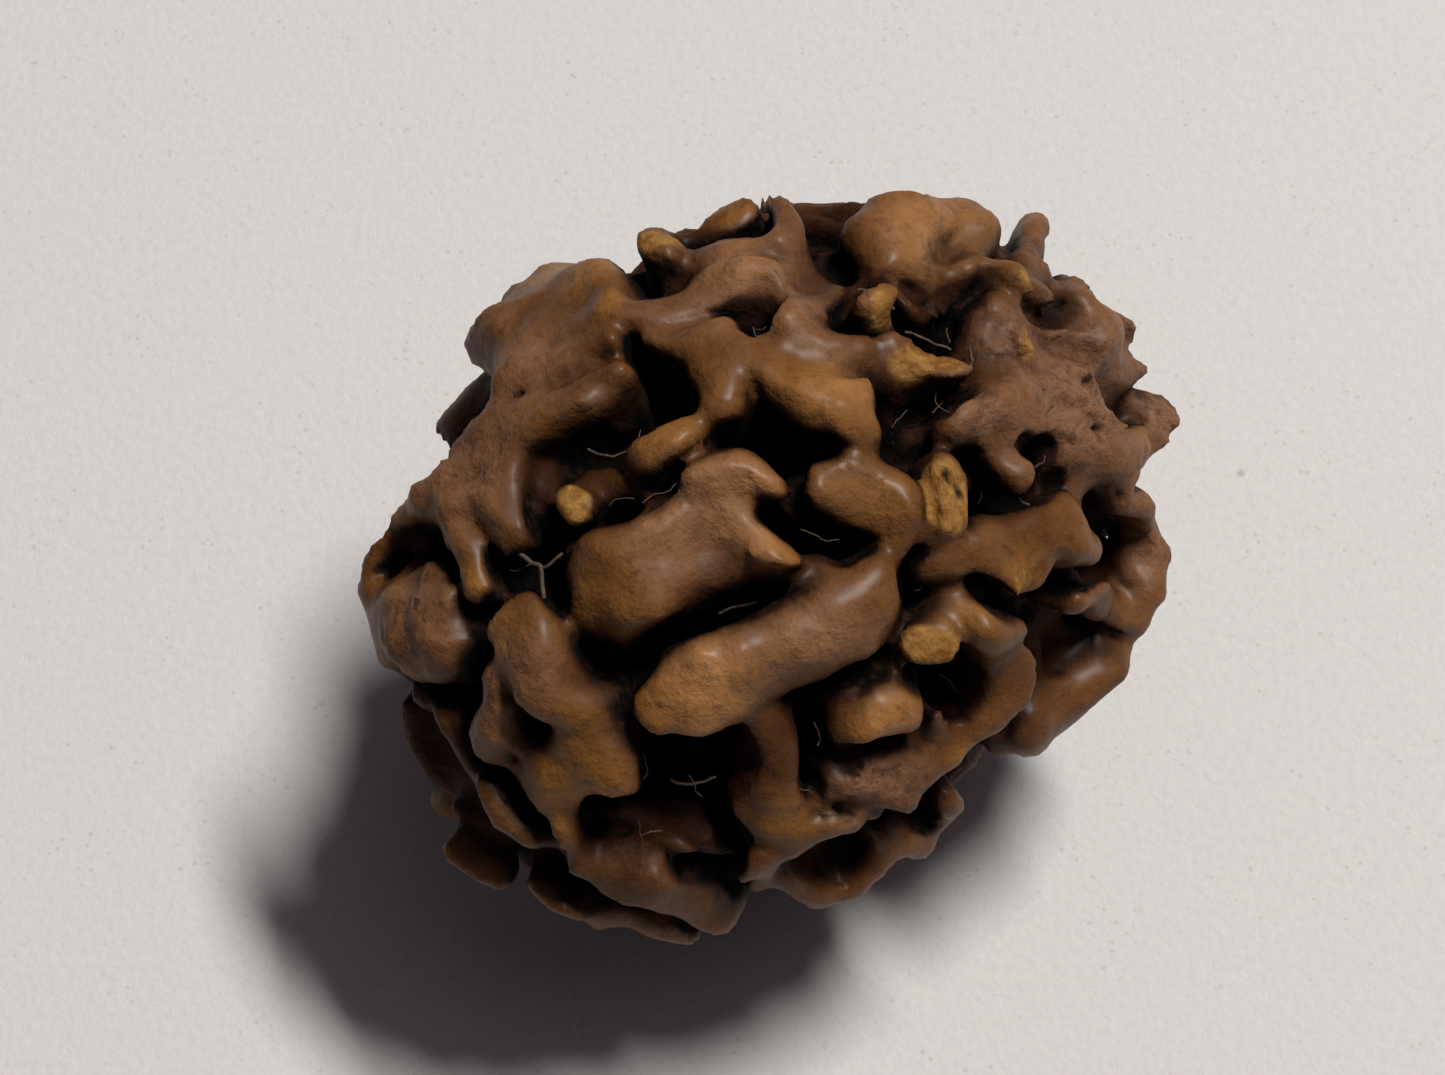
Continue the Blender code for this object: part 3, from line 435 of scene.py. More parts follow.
# Where the skin is worn to ochre, dusty, darkened by painted shade, lightened by painted highlight or
# pitted: x, y and radius in mm, strength.
patches = {
    "worn": [
        (-5.2, -6.1, 1.3, 1.0), (-5.7, 7.9, 0.9, 0.9), (-4.6, 7.7, 0.8, 0.8), (-4.2, 6.9, 0.4, 0.9),
        (9.3, -2.3, 0.6, 0.7), (6.9, -0.3, 0.8, 0.9), (7.9, 0.9, 0.8, 0.4), (-7.9, -0.4, 0.6, 0.9),
        (-7.2, -1.8, 0.7, 0.9), (1.6, 4.6, 1.3, 0.6), (2.7, 1.4, 0.8, 0.6), (-2.7, 3.3, 0.9, 0.7),
        (-2.2, -4.0, 1.3, 0.7), (3.1, -4.4, 1.1, 0.8), (-4.6, -1.2, 1.2, 0.4), (0.3, 0.5, 0.9, 0.5),
        (0.6, -6.9, 0.8, 0.7), (5.3, -5.2, 0.6, 0.7), (5.3, -1.0, 0.7, 0.7), (-9.8, 1.4, 0.6, 0.7),
        (-4.8, -4.2, 0.9, 0.4), (-1.5, 9.4, 0.9, 0.6), (5.1, -7.0, 0.6, 0.4), (4.2, 8.8, 1.1, 0.3),
    ],
    "dusty": [
        (-8.0, 2.6, 1.6, 0.5), (-7.3, 6.3, 1.2, 0.5), (-9.6, -1.6, 1.5, 0.55), (-7.6, -4.2, 1.2, 0.5),
        (-6.4, 5.3, 1.4, 0.5), (-2.0, 7.6, 1.6, 0.5), (0.6, 8.1, 1.4, 0.5), (1.2, 6.9, 1.0, 0.5),
        (8.2, 5.0, 2.4, 1.0), (9.3, 6.2, 1.4, 1.0), (10.3, 4.0, 1.2, 1.0), (10.0, 0.4, 1.2, 0.6),
        (6.6, 6.0, 1.2, 0.9), (5.4, 4.2, 0.9, 0.9), (9.6, 2.6, 1.1, 0.7), (4.9, 4.9, 0.9, 1.0),
        (5.5, 6.3, 1.1, 1.0), (-4.6, 3.9, 1.0, 0.6), (-2.2, -7.3, 1.2, 0.5), (-7.0, -3.0, 0.8, 0.6),
        (-2.0, 1.4, 1.5, 0.5), (1.2, -1.9, 1.3, 0.5), (3.0, -6.0, 1.4, 0.9), (-3.4, -8.6, 1.4, 0.4),
        (7.0, 3.4, 1.2, 0.5), (-6.4, -2.9, 1.0, 0.5), (7.2, 8.3, 0.8, 0.5), (8.1, 7.4, 0.8, 0.7),
    ],
    # patches of painted shade, where the skin is darkened on parts that lie out of the light
    "paintedShadePatches": [
        (7.4, 0.6, 1.3, 0.6), (8.7, -3.2, 1.7, 0.5), (-3.4, -8.8, 2.2, 0.6), (6.5, -2.6, 1.5, 0.3),
        (-4.9, -0.6, 1.2, 0.3), (-9.6, -2.4, 1.0, 0.4), (5.6, 8.2, 1.0, 0.5), (-5.0, -5.6, 0.8, 0.3),
        (3.2, -6.4, 1.2, 0.4), (0.3, -5.4, 0.8, 0.6), (-6.2, -2.4, 1.2, 0.3), (1.2, -8.8, 1.4, 0.5),
    ],
    # patches of painted highlight, where the skin is lightened as if by sheen from the lamp
    "paintedHighlight": [
        (-1.0, 1.3, 1.2, 1.0), (-1.6, -3.1, 1.1, 0.6), (4.7, 8.8, 1.5, 0.7), (-1.0, 7.7, 1.4, 0.6),
        (9.0, 6.2, 0.9, 0.4), (0.8, -2.2, 0.9, 0.5), (2.4, 2.1, 0.8, 0.3), (-3.4, 1.4, 0.8, 0.4),
        (1.9, 4.6, 0.8, 0.4), (7.6, 4.4, 0.9, 0.4), (3.2, -3.8, 0.8, 0.3), (9.9, 3.0, 0.7, 0.5),
    ],
    "pits": [
        (4.65, 2.35, 0.16, 1.0), (4.95, 1.9, 0.18, 1.0), (4.1, 5.5, 0.14, 1.0), (8.7, 5.9, 0.15, 0.7),
        (8.2, 4.2, 0.16, 0.7), (-6.0, -5.6, 0.22, 0.8), (-5.2, -5.8, 0.16, 0.8), (9.6, 6.5, 0.14, 0.6),
        (7.9, 4.9, 0.14, 0.6), (7.0, 4.3, 0.13, 0.5), (-0.6, 2.4, 0.14, 0.4), (-9.4, -1.0, 0.14, 0.5),
    ],
}
patchEdges = {"worn": 0.9, "dusty": 1.0, "paintedShadePatches": 1.2, "paintedHighlight": 1.4, "pits": 0.6}


def patchValues(corners, name):  # the strongest patch at each point, soft over a share of its radius
    values = np.zeros(len(corners))
    for x, y, radius, strength in patches[name]:
        away = length(corners - onCrest(x, y)) / radius
        soft = share((1.0 - away) / patchEdges[name] + 0.5)
        values = np.maximum(values, strength * soft)
    return values


# The shell's distance field on a grid, which Geometry Nodes turns into the seed's skin.
grid = {
    "step": 0.188,  # mm, which keeps the skin under 200,000 triangles
    "margin": 1.2,
    "leastFaces": 2000,  # of an island of the skin; smaller ones are crumbs, and go
    "shellInside": 3.6,
    "shellOutside": 1.4,
    "ridgeBox": 1.8,  # how far round a piece the grid is looked through
    "hollowBox": 3.4,
    "far": 9.0,
    "grainReach": 0.028,
    "grainPitch": 1.0,
    "grainWaves": 14,
    "fineShare": 0.5,  # of the finer grain, and how much finer it is
    "finePitch": 2.3,
    "crumbReach": 0.06,  # of the rough crust where the skin is dusty
    "floorReach": 0.07,  # of the wrinkles on the floors between the ridges
    "floorPitch": 1.3,
    "floorTop": 0.7,  # how deep they start, and fade in
    "floorFade": 0.6,
}


def fieldOnGrid():
    extent = np.sqrt((bodyAxes.T ** 2) @ body["semiAxes"] ** 2) + grid["margin"]
    count = np.ceil(2.0 * extent / grid["step"]).astype(int) + 1
    low = -(count - 1) * grid["step"] / 2.0
    axes = [low[i] + np.arange(count[i]) * grid["step"] for i in range(3)]
    points = np.stack(np.meshgrid(*axes, indexing="ij"), axis=-1).astype(np.float32)
    height = crestHeight(points).astype(np.float32)
    distance = np.where(height > 0.0, 1.0, -1.0).astype(np.float32)
    shell = (height > -grid["shellInside"]) & (height < grid["shellOutside"])
    near = points[shell]
    draw = np.random.default_rng(relief["seed"])
    warp = [waves(near, relief["warpPitch"], relief["warpWaves"], draw) for _ in range(3)]
    near = near + np.float32(relief["warpReach"]) * np.stack(warp, axis=-1)
    points[shell] = near
    nearHeight = crestHeight(near).astype(np.float32)
    swell = waves(near, relief["swellPitch"], relief["swellWaves"], draw)
    nearHeight += np.float32(relief["swell"]) * swell
    height[shell] = nearHeight
    floor = nearHeight + body["grooveDepth"] - body["frontGrooveRise"] * facing(near)
    distance[shell] = blend(floor, labyrinthDistance(near, nearHeight), relief["floorBlend"])
    print("grid", count, "shell points", len(near))

    def boxRound(middle, spread):  # the part of the grid round a piece
        first = np.maximum(np.floor((middle - spread - low) / grid["step"]).astype(int), 0)
        last = np.minimum(np.ceil((middle + spread - low) / grid["step"]).astype(int) + 1, count)
        return tuple(slice(a, b) for a, b in zip(first, last))

    for middle, reach, *sizes in pathPieces(hollows):
        box = boxRound(middle, reach + grid["hollowBox"])
        piece = hollowDistance(points[box], height[box], *sizes)
        piece = np.where(shell[box], piece, grid["far"])
        distance[box] = -blend(-distance[box], piece, relief["ridgeBlend"])
    for middle, reach, measure, sizes in reliefPieces():
        box = boxRound(middle, reach + grid["ridgeBox"])
        piece = measure(points[box], height[box], *sizes)
        piece = np.where(shell[box], piece, grid["far"])
        distance[box] = blend(distance[box], piece, relief["ridgeBlend"])
    draw = np.random.default_rng(relief["seed"] + 2)
    summed = grid["grainWaves"]
    grain = waves(near, grid["grainPitch"], summed, draw)
    grain += grid["fineShare"] * waves(near, grid["grainPitch"] / grid["finePitch"], summed, draw)
    wrinkle = waves(near, grid["floorPitch"], summed, draw)
    wrinkle = wrinkle * share((-nearHeight - grid["floorTop"]) / grid["floorFade"])
    crust = np.float32(grid["crumbReach"]) * grain * patchValues(near, "dusty") ** 2
    distance[shell] += np.float32(grid["grainReach"]) * grain + crust
    distance[shell] += np.float32(grid["floorReach"]) * wrinkle
    flat = body["restLevel"] - axes[2]
    distance = np.maximum(distance, flat.astype(np.float32)[None, None, :])
    return distance, low, count


def group(name, sockets):  # an empty Geometry Nodes tree with named inputs
    tree = bpy.data.node_groups.new(name, "GeometryNodeTree")
    for socket, kind in {"Geometry": "Geometry", **sockets}.items():
        tree.interface.new_socket(socket, in_out="INPUT", socket_type="NodeSocket" + kind)
    tree.interface.new_socket("Geometry", in_out="OUTPUT", socket_type="NodeSocketGeometry")
    return tree


def addNode(tree, kind, settings=(), inputs=()):
    node = tree.nodes.new(kind)
    for name, value in dict(settings).items():
        setattr(node, name, value)
    for key, value in dict(inputs).items():
        if isinstance(value, bpy.types.Node):
            value = value.outputs[0]  # a node stands for its first output
        if isinstance(value, bpy.types.NodeSocket):
            tree.links.new(value, node.inputs[key])
        else:
            node.inputs[key].default_value = value
    return node


def vectorSum(tree, operation, first, second):
    key = "Scale" if operation == "SCALE" else 1
    return addNode(tree, "ShaderNodeVectorMath", {"operation": operation}, {0: first, key: second})


def endTree(tree, geometry, material):
    smooth = addNode(tree, "GeometryNodeSetShadeSmooth", (), {"Geometry": geometry})
    real = addNode(tree, "GeometryNodeRealizeInstances", (), {"Geometry": smooth})
    dressed = addNode(tree, "GeometryNodeSetMaterial", (),
                      {"Geometry": real, "Material": material})
    addNode(tree, "NodeGroupOutput", (), {0: dressed})


def setInputs(modifier, values):
    for item in modifier.node_group.interface.items_tree:
        if item.item_type == "SOCKET" and item.in_out == "INPUT" and item.name in values:
            modifier[item.identifier] = values[item.name]


def skinTree(material):
    # Reads the distance at each grid point by its number, and draws the skin where it passes zero.
    tree = group("seedSkin", {
        "Low Corner": "Vector", "Step": "Float", "Count X": "Int", "Count Y": "Int", "Count Z": "Int",
        "Least Faces": "Int",
    })
    given = addNode(tree, "NodeGroupInput").outputs
    spot = addNode(tree, "GeometryNodeInputPosition")
    away = vectorSum(tree, "SUBTRACT", spot, given["Low Corner"])
    cell = addNode(tree, "ShaderNodeSeparateXYZ", (), {0: vectorSum(tree, "DIVIDE", away, given["Step"])})

    def sums(operation, first, second):
        return addNode(tree, "ShaderNodeMath", {"operation": operation}, {0: first, 1: second})

    place = [sums("ROUND", cell.outputs[i], 0.0) for i in range(3)]
    number = sums("ADD", sums("MULTIPLY", place[0], given["Count Y"]), place[1])
    number = sums("ADD", sums("MULTIPLY", number, given["Count Z"]), place[2])
    stored = addNode(tree, "GeometryNodeInputNamedAttribute", {"data_type": "FLOAT"}, {0: "solidness"})
    sample = addNode(tree, "GeometryNodeSampleIndex", {"data_type": "FLOAT", "domain": "POINT"},
                     {"Geometry": given["Geometry"], "Value": stored, "Index": number})
    counts = addNode(tree, "ShaderNodeCombineXYZ", (), {
        0: given["Count X"], 1: given["Count Y"], 2: given["Count Z"]})
    spans = vectorSum(tree, "SUBTRACT", counts, (1, 1, 1))
    high = vectorSum(tree, "ADD", given["Low Corner"], vectorSum(tree, "MULTIPLY", spans, given["Step"]))
    cube = addNode(tree, "GeometryNodeVolumeCube", (), {
        "Density": sample, "Background": -1.0, "Min": given["Low Corner"],
        "Max": high, "Resolution X": given["Count X"], "Resolution Y": given["Count Y"],
        "Resolution Z": given["Count Z"]})
    skin = addNode(tree, "GeometryNodeVolumeToMesh", (), {"Volume": cube, "Threshold": 0.0})
    island = addNode(tree, "GeometryNodeInputMeshIsland")
    tally = addNode(tree, "GeometryNodeAccumulateField", {"data_type": "INT", "domain": "FACE"},
                    {"Value": 1, "Group ID": island})
    crumb = addNode(tree, "FunctionNodeCompare", {"data_type": "INT", "operation": "LESS_THAN"},
                    {2: tally.outputs["Total"], 3: given["Least Faces"]})
    whole = addNode(tree, "GeometryNodeDeleteGeometry", {"domain": "FACE"},
                    {"Geometry": skin, "Selection": crumb})
    endTree(tree, whole, material)
    return tree


def addThing(name, data):
    thing = bpy.data.objects.new(name, data)
    bpy.context.scene.collection.objects.link(thing)
    return thing


def readVectors(items, key):
    flat = np.empty(len(items) * 3, dtype=np.float32)
    items.foreach_get(key, flat)
    return flat.reshape(-1, 3)


def store(mesh, name, values):  # a number at each vertex, for the trees and the materials
    mesh.attributes.new(name, "FLOAT", "POINT").data.foreach_set("value", values)


def finish(thing, name):  # the evaluated object as a plain mesh of its own
    bpy.context.view_layer.update()
    graph = bpy.context.evaluated_depsgraph_get()
    mesh = bpy.data.meshes.new_from_object(thing.evaluated_get(graph))
    mesh.name = name
    old = thing.data
    thing.modifiers.clear()
    thing.data = mesh
    thing.name = name
    if isinstance(old, bpy.types.Mesh):
        bpy.data.meshes.remove(old)
    return thing


def makeSeed(material):
    distance, low, count = fieldOnGrid()
    points = bpy.data.meshes.new("seedGrid")
    points.vertices.add(distance.size)
    store(points, "solidness", -distance.ravel())
    seed = addThing("seedShell", points)
    skin = seed.modifiers.new("skin", "NODES")
    skin.node_group = skinTree(material)
    setInputs(skin, {"Low Corner": tuple(low), "Step": grid["step"], "Count X": int(count[0]),
                     "Count Y": int(count[1]), "Count Z": int(count[2]), "Least Faces": grid["leastFaces"]})
    finish(seed, "seedShell")
    mesh = seed.data
    print("seed skin", len(mesh.vertices), "vertices", len(mesh.polygons), "faces")
    corners = readVectors(mesh.vertices, "co")
    addLooks(mesh, corners, distance, low, count)
    middle = (corners.max(axis=0) + corners.min(axis=0)) / 2.0
    middle[2] = body["restLevel"]
    mesh.vertices.foreach_set("co", ((corners - middle) * mm).ravel())
    mesh.update()
    return seed, middle


marks = {
    "probes": (0.4, 0.8, 1.3, 1.9),  # how far out the shell is looked for, mm
    "cutWidth": 1.02,  # of a stub's pale end, in widths of the stub
    "cutEdge": 0.1,
    "cutDepth": 0.6,
    "cutFade": 0.2,
    "hiddenStart": 0.25,  # where the sides begin, which the picture doesn't show
    "hiddenFade": 0.4,
    "blotchPitch": 5.5,
    "blotchWaves": 12,
    "wornGain": (0.9, 0.1, 0.9),  # slope, offset and most
    "dustyGain": (0.8, 0.0, 0.7),
}


def addLooks(mesh, corners, distance, low, count):
    # What the materials read: how deep a point lies, how shut in it is, where a stub is cut, the patches.
    normals = readVectors(mesh.vertex_normals, "vector")
    depth = -crestHeight(corners)
    shutIn = np.zeros(len(corners))
    for way in marks["probes"]:
        spot = corners + normals * way
        cell = np.clip(np.rint((spot - low) / grid["step"]).astype(int), 0, np.array(count) - 1)
        clear = distance[cell[:, 0], cell[:, 1], cell[:, 2]]
        shutIn += share(1.0 - clear / way) / len(marks["probes"])
    cut = np.zeros(len(corners))
    for _, _, (foot, footWidth), (tip, _), top in pathPieces(stubs):
        normal = crestNormal((foot + tip) / 2.0)
        along = share((corners - foot) @ (tip - foot) / ((tip - foot) @ (tip - foot)))
        away = corners - foot - along[:, None] * (tip - foot)
        rise = away @ normal
        away = length(away - rise[:, None] * normal)
        edge = share((footWidth * marks["cutWidth"] - away) / marks["cutEdge"])
        cut = np.maximum(cut, edge * share((rise + top + marks["cutDepth"]) / marks["cutFade"]))
    values = {"depth": depth, "shutIn": shutIn, "cut": cut}
    for name in patches:
        values[name] = patchValues(corners, name)
    # The hidden sides get wear and dust by chance.
    turned = marks["hiddenStart"] - crestNormal(corners) @ towardEye
    hidden = share(turned / marks["hiddenFade"])
    draw = np.random.default_rng(relief["seed"] + 3)
    blotch = waves(corners, marks["blotchPitch"], marks["blotchWaves"], draw)
    for name, gain, field in (("worn", marks["wornGain"], blotch), ("dusty", marks["dustyGain"], -blotch)):
        slope, offset, most = gain
        values[name] = np.maximum(values[name], hidden * np.clip(slope * field - offset, 0.0, most))
    for name, value in values.items():
        store(mesh, name, value.astype(np.float32))


class Sock:  # a node socket that takes part in Python sums
    def __init__(self, tree, socket):
        self.tree = tree
        self.socket = socket

    def sum(self, operation, *others):
        node = self.tree.nodes.new("ShaderNodeMath")
        node.operation = operation
        for place, value in enumerate((self, *others)):
            plug(self.tree, node.inputs[place], value)
        return Sock(self.tree, node.outputs[0])

    def __add__(self, other):
        return self.sum("ADD", other)

    def __radd__(self, other):
        return self.sum("ADD", other)

    def __sub__(self, other):
        return self.sum("SUBTRACT", other)

    def __rsub__(self, other):
        return (self * -1.0).sum("ADD", other)

    def __mul__(self, other):
        return self.sum("MULTIPLY", other)

    def __rmul__(self, other):
        return self.sum("MULTIPLY", other)

    def __truediv__(self, other):
        return self.sum("DIVIDE", other)

    def clamp(self):
        return self.sum("MAXIMUM", 0.0).sum("MINIMUM", 1.0)

    def between(self, low, high):
        return ((self - low) / (high - low)).clamp()


def plug(tree, socket, value):
    if isinstance(value, Sock):
        tree.links.new(value.socket, socket)
    else:
        socket.default_value = value


class Finish:  # a material and the one way to add a node to it
    def __init__(self, name):
        self.material = bpy.data.materials.new(name)
        self.material.use_nodes = True
        self.tree = self.material.node_tree
        self.surface = self.tree.nodes["Principled BSDF"]

    def node(self, kind, settings=None, output=0, **sockets):
        made = self.tree.nodes.new(kind)
        for name, value in (settings or {}).items():
            setattr(made, name, value)
        for name, value in sockets.items():
            key = int(name[1:]) if name[0] == "s" and name[1:].isdigit() else name.replace("_", " ")
            plug(self.tree, made.inputs[key], value)
        return Sock(self.tree, made.outputs[output])

    def coords(self):
        return self.node("ShaderNodeTexCoord", output="Object")

    def read(self, name):
        return self.node("ShaderNodeAttribute", {"attribute_name": name}, output="Fac")

    def noise(self, place, scale, detail=3.0, rough=0.5):
        return self.node("ShaderNodeTexNoise", Vector=place, Scale=scale, Detail=detail, Roughness=rough)

    def cells(self, place, scale):
        return self.node("ShaderNodeTexVoronoi", Vector=place, Scale=scale)

    def warped(self, place, scale, reach):  # places pushed about, so that cells don't look even
        push = self.node("ShaderNodeTexNoise", output="Color", Vector=place, Scale=scale, Detail=2.0)
        centred = self.node("ShaderNodeVectorMath", {"operation": "SUBTRACT"}, s0=push, s1=(0.5, 0.5, 0.5))
        moved = self.node("ShaderNodeVectorMath", {"operation": "SCALE"}, s0=centred, Scale=reach * 2.0)
        return self.node("ShaderNodeVectorMath", {"operation": "ADD"}, s0=place, s1=moved)

    def mix(self, factor, first, second, kind="MIX"):
        made = self.tree.nodes.new("ShaderNodeMix")
        made.data_type = "RGBA"
        made.blend_type = kind
        for place, value in ((0, factor), (6, first), (7, second)):
            if isinstance(value, tuple):
                value = (*value, 1.0)
            plug(self.tree, made.inputs[place], value)
        return Sock(self.tree, made.outputs[2])

    def set(self, **sockets):
        for name, value in sockets.items():
            if isinstance(value, tuple) and len(value) == 3:
                value = (*value, 1.0)
            plug(self.tree, self.surface.inputs[name.replace("_", " ")], value)

    def bump(self, height, distance, strength=1.0, under=None):
        made = self.tree.nodes.new("ShaderNodeBump")
        made.inputs["Strength"].default_value = strength
        made.inputs["Distance"].default_value = distance
        plug(self.tree, made.inputs["Height"], height)
        if under is not None:
            plug(self.tree, made.inputs["Normal"], under)
        return Sock(self.tree, made.outputs[0])


def colour(values):  # from screen values, 0 to 255, to the renderer's
    return tuple(((c / 255.0 + 0.055) / 1.055) ** 2.4 if c > 10 else c / 3294.6 for c in values)


# Screen colours of the skin, how often each texture repeats in a metre, and how high it stands in metres.
# Some of these colours also paint light into the skin: painted highlight and painted shade are marked where
# the material uses them.
shellLooks = {
    "crest": (82, 48, 18), "crestPaleAndHighlight": (122, 80, 42), "ochre": (148, 100, 44),
    "paintedHighlight": (184, 132, 84), "dust": (108, 75, 54), "dustPale": (150, 110, 82), "recessShadeAndMottle": (50, 26, 12),
    "paintedShade": (178, 163, 146), "hollowDarkAndShade": (5, 3, 2), "crumb": (66, 43, 30), "cutFace": (116, 76, 33),
    "cutPale": (160, 118, 62), "pit": (28, 16, 10),
}
shellScales = {
    "broad": 420.0, "mottle": 1500.0, "fine": 4500.0, "knobs": 950.0, "knobWarp": 700.0, "coarse": 1300.0,
}
shellBumps = {"fine": 0.00004, "mottle": 0.00016, "knobs": 0.0003, "knobWarp": 0.0005, "coarse": 0.00022}


def waxyShell():
    shell = Finish("waxyShell")
    tint = {name: colour(value) for name, value in shellLooks.items()}
    place = shell.coords()
    depth = shell.read("depth")
    shutIn = shell.read("shutIn")
    cut = shell.read("cut")
    wornPart = shell.read("worn")
    dust = shell.read("dusty")
    rough = dust * dust
    pit = shell.read("pits")
    paintedShade = shell.read("paintedShadePatches")
    highlightMask = shell.read("paintedHighlight")
    broad = shell.noise(place, shellScales["broad"], 3.0, 0.55)
    mottle = shell.noise(place, shellScales["mottle"], 4.0, 0.6)
    fine = shell.noise(place, shellScales["fine"], 4.0, 0.65)
    knobPlace = shell.warped(place, shellScales["knobWarp"], shellBumps["knobWarp"])
    knobs = shell.cells(knobPlace, shellScales["knobs"])
    # paler skin in random patches, and a painted highlight along the crests, where the skin lies least deep
    paleToneAndHighlight = (broad * 0.6 + mottle * 0.4).between(0.4, 0.62) * 0.7 + (0.3 - depth).between(0.0, 0.5) * 0.4
    skin = shell.mix(paleToneAndHighlight.clamp(), tint["crest"], tint["crestPaleAndHighlight"])
    skin = shell.mix((wornPart + (mottle - 0.5) * 1.4 * wornPart).clamp() * 0.85, skin, tint["ochre"])
    # painted highlight: the skin is lightened over the highlight patches
    skin = shell.mix((highlightMask + (broad - 0.5) * 1.2 * highlightMask).clamp() * 0.8, skin, tint["paintedHighlight"])
    powder = shell.mix((mottle * 0.5 + fine * 0.5).between(0.42, 0.62), tint["dust"], tint["dustPale"])
    skin = shell.mix((dust * 1.1 + (broad - 0.5) * 1.5 * dust).clamp() * 0.9, skin, powder)
    skin = shell.mix((mottle * 0.6 + fine * 0.4).between(0.52, 0.68) * 0.6, skin, tint["recessShadeAndMottle"])
    skin = shell.mix((0.22 - knobs).between(0.0, 0.1) * rough * 0.9, skin, tint["pit"])
    # painted shade: darker down the sides of the ridges and where the skin is shut in
    recessShadeAndMottle = (depth.between(0.2, 1.1) * 0.85 + shutIn.between(0.15, 0.55) * 0.6).clamp()
    skin = shell.mix(recessShadeAndMottle, skin, tint["recessShadeAndMottle"])
    # the cavities go near black: the seed's own dark colour, and painted shade where they are deep or shut
    # in
    deep = (depth.between(1.2, 2.4) + shutIn.between(0.45, 0.8)).clamp() * (1.0 - rough * 0.35)
    skin = shell.mix(deep, skin, tint["hollowDarkAndShade"])
    loose = (mottle * 0.5 + fine * 0.5).between(0.52, 0.62) * (1.0 - depth.between(1.6, 2.6))
    skin = shell.mix(loose * deep * (0.35 + dust * 0.6), skin, tint["crumb"])
    face = shell.mix((mottle * 0.6 + fine * 0.4).between(0.42, 0.6), tint["cutFace"], tint["cutPale"])
    skin = shell.mix(cut, skin, face)
    # painted shade: the skin is darkened over the shade patches
    darker = shell.mix(1.0, skin, tint["paintedShade"], "MULTIPLY")
    skin = shell.mix((paintedShade + (broad - 0.5) * 1.5 * paintedShade).clamp(), skin, darker)
    skin = shell.mix(pit, skin, tint["pit"])
    openSkin = (1.0 - deep) * (1.0 - depth.between(0.3, 1.2))
    shell.set(Base_Color=skin, Specular_IOR_Level=0.08, Coat_Roughness=0.36, Coat_IOR=1.38)
    shell.set(Coat_Weight=(openSkin * (0.45 - dust * 0.35 - paintedShade * 0.2) * (1.0 - cut)).clamp())
    shell.set(Roughness=(0.5 + fine * 0.25 + deep * 0.3).clamp())
    coarse = shell.noise(place, shellScales["coarse"], 4.0, 0.6)
    bumps = shell.bump(fine, shellBumps["fine"], 0.8)
    bumps = shell.bump(mottle * (0.5 + rough * 1.6), shellBumps["mottle"], 0.8, bumps)
    bumps = shell.bump(knobs * rough * -1.0, shellBumps["knobs"], 0.8, bumps)
    shell.set(Normal=shell.bump(coarse - pit, shellBumps["coarse"], 0.7, bumps))
    return shell.material


# Dry fibres caught between the ridges: depth under the egg, radius, and the path as x, y, in mm.
fibres = [
    (0.9, 0.035, [(2.5, 7.9), (2.95, 7.8), (3.3, 7.6), (3.6, 7.3)]),
    (1.0, 0.035, [(3.9, 6.8), (4.3, 6.65), (4.8, 6.45), (5.3, 6.15)]),
    (0.7, 0.03, [(5.65, 6.1), (5.75, 5.7), (5.6, 5.2)]),
    (0.9, 0.04, [(6.8, 2.0), (7.4, 1.7), (8.1, 1.3)]),
    (0.8, 0.03, [(-5.1, 3.4), (-4.6, 3.2), (-4.0, 3.25)]),
    (0.9, 0.06, [(-7.2, 0.5), (-6.8, 0.2), (-6.5, 0.0), (-6.45, -0.8)]),
    (0.9, 0.045, [(-5.9, 0.4), (-6.2, 0.15), (-6.5, 0.0)]),
    (1.6, 0.035, [(-1.2, -1.4), (-0.6, -1.2), (0.0, -1.1)]),
    (1.5, 0.035, [(-2.6, -6.6), (-1.9, -6.75), (-1.2, -6.6)]),
]
fibreLooks = {
    "sides": 7,
    "steps": 18,
    "wiggle": 0.32,  # how far a fibre is pushed about, mm
    "wiggleScale": 1500.0,
    "colour": (92, 73, 54),
    "dark": (50, 37, 27),
    "streakScale": 5000.0,
    "roughness": 0.75,
    "strays": 32,
    "strayKnots": 4,
    "strayLength": (0.4, 1.2),
    "strayTurn": 0.6,
    "strayDepth": (0.7, 1.5),
    "strayRadius": (0.01, 0.022),
    "hollowsLeftOut": 5,  # the last ones, where the outline falls in
    "seed": 5,
}


def fibreTree(material):
    tree = group("fibreTubes", {"Sides": "Int", "Steps": "Int", "Wiggle": "Float"})
    given = addNode(tree, "NodeGroupInput").outputs
    thick = addNode(tree, "GeometryNodeInputNamedAttribute", {"data_type": "FLOAT"}, {0: "thick"})
    path = addNode(tree, "GeometryNodeMeshToCurve", (), {0: given["Geometry"]})
    kind = addNode(tree, "GeometryNodeCurveSplineType", {"spline_type": "CATMULL_ROM"}, {0: path})
    even = addNode(tree, "GeometryNodeResampleCurve", (),
                   {"Curve": kind, "Count": given["Steps"]})
    noise = addNode(tree, "ShaderNodeTexNoise", (), {"Scale": fibreLooks["wiggleScale"]})
    centred = vectorSum(tree, "SUBTRACT", noise.outputs["Color"], (0.5, 0.5, 0.5))
    moved = vectorSum(tree, "SCALE", centred, given["Wiggle"])
    bent = addNode(tree, "GeometryNodeSetPosition", (), {"Geometry": even, "Offset": moved})
    ring = addNode(tree, "GeometryNodeCurvePrimitiveCircle", (),
                   {"Resolution": given["Sides"], "Radius": 1.0})
    tube = addNode(tree, "GeometryNodeCurveToMesh", (), {
        "Curve": bent, "Profile Curve": ring, "Scale": thick,
        "Fill Caps": True})
    endTree(tree, tube, material)
    return tree


def dryFibre():
    fibre = Finish("dryFibre")
    streak = fibre.noise(fibre.coords(), fibreLooks["streakScale"], 3.0, 0.6).between(0.35, 0.65)
    tint = fibre.mix(streak, colour(fibreLooks["colour"]), colour(fibreLooks["dark"]))
    fibre.set(Base_Color=tint, Roughness=fibreLooks["roughness"])
    return fibre.material


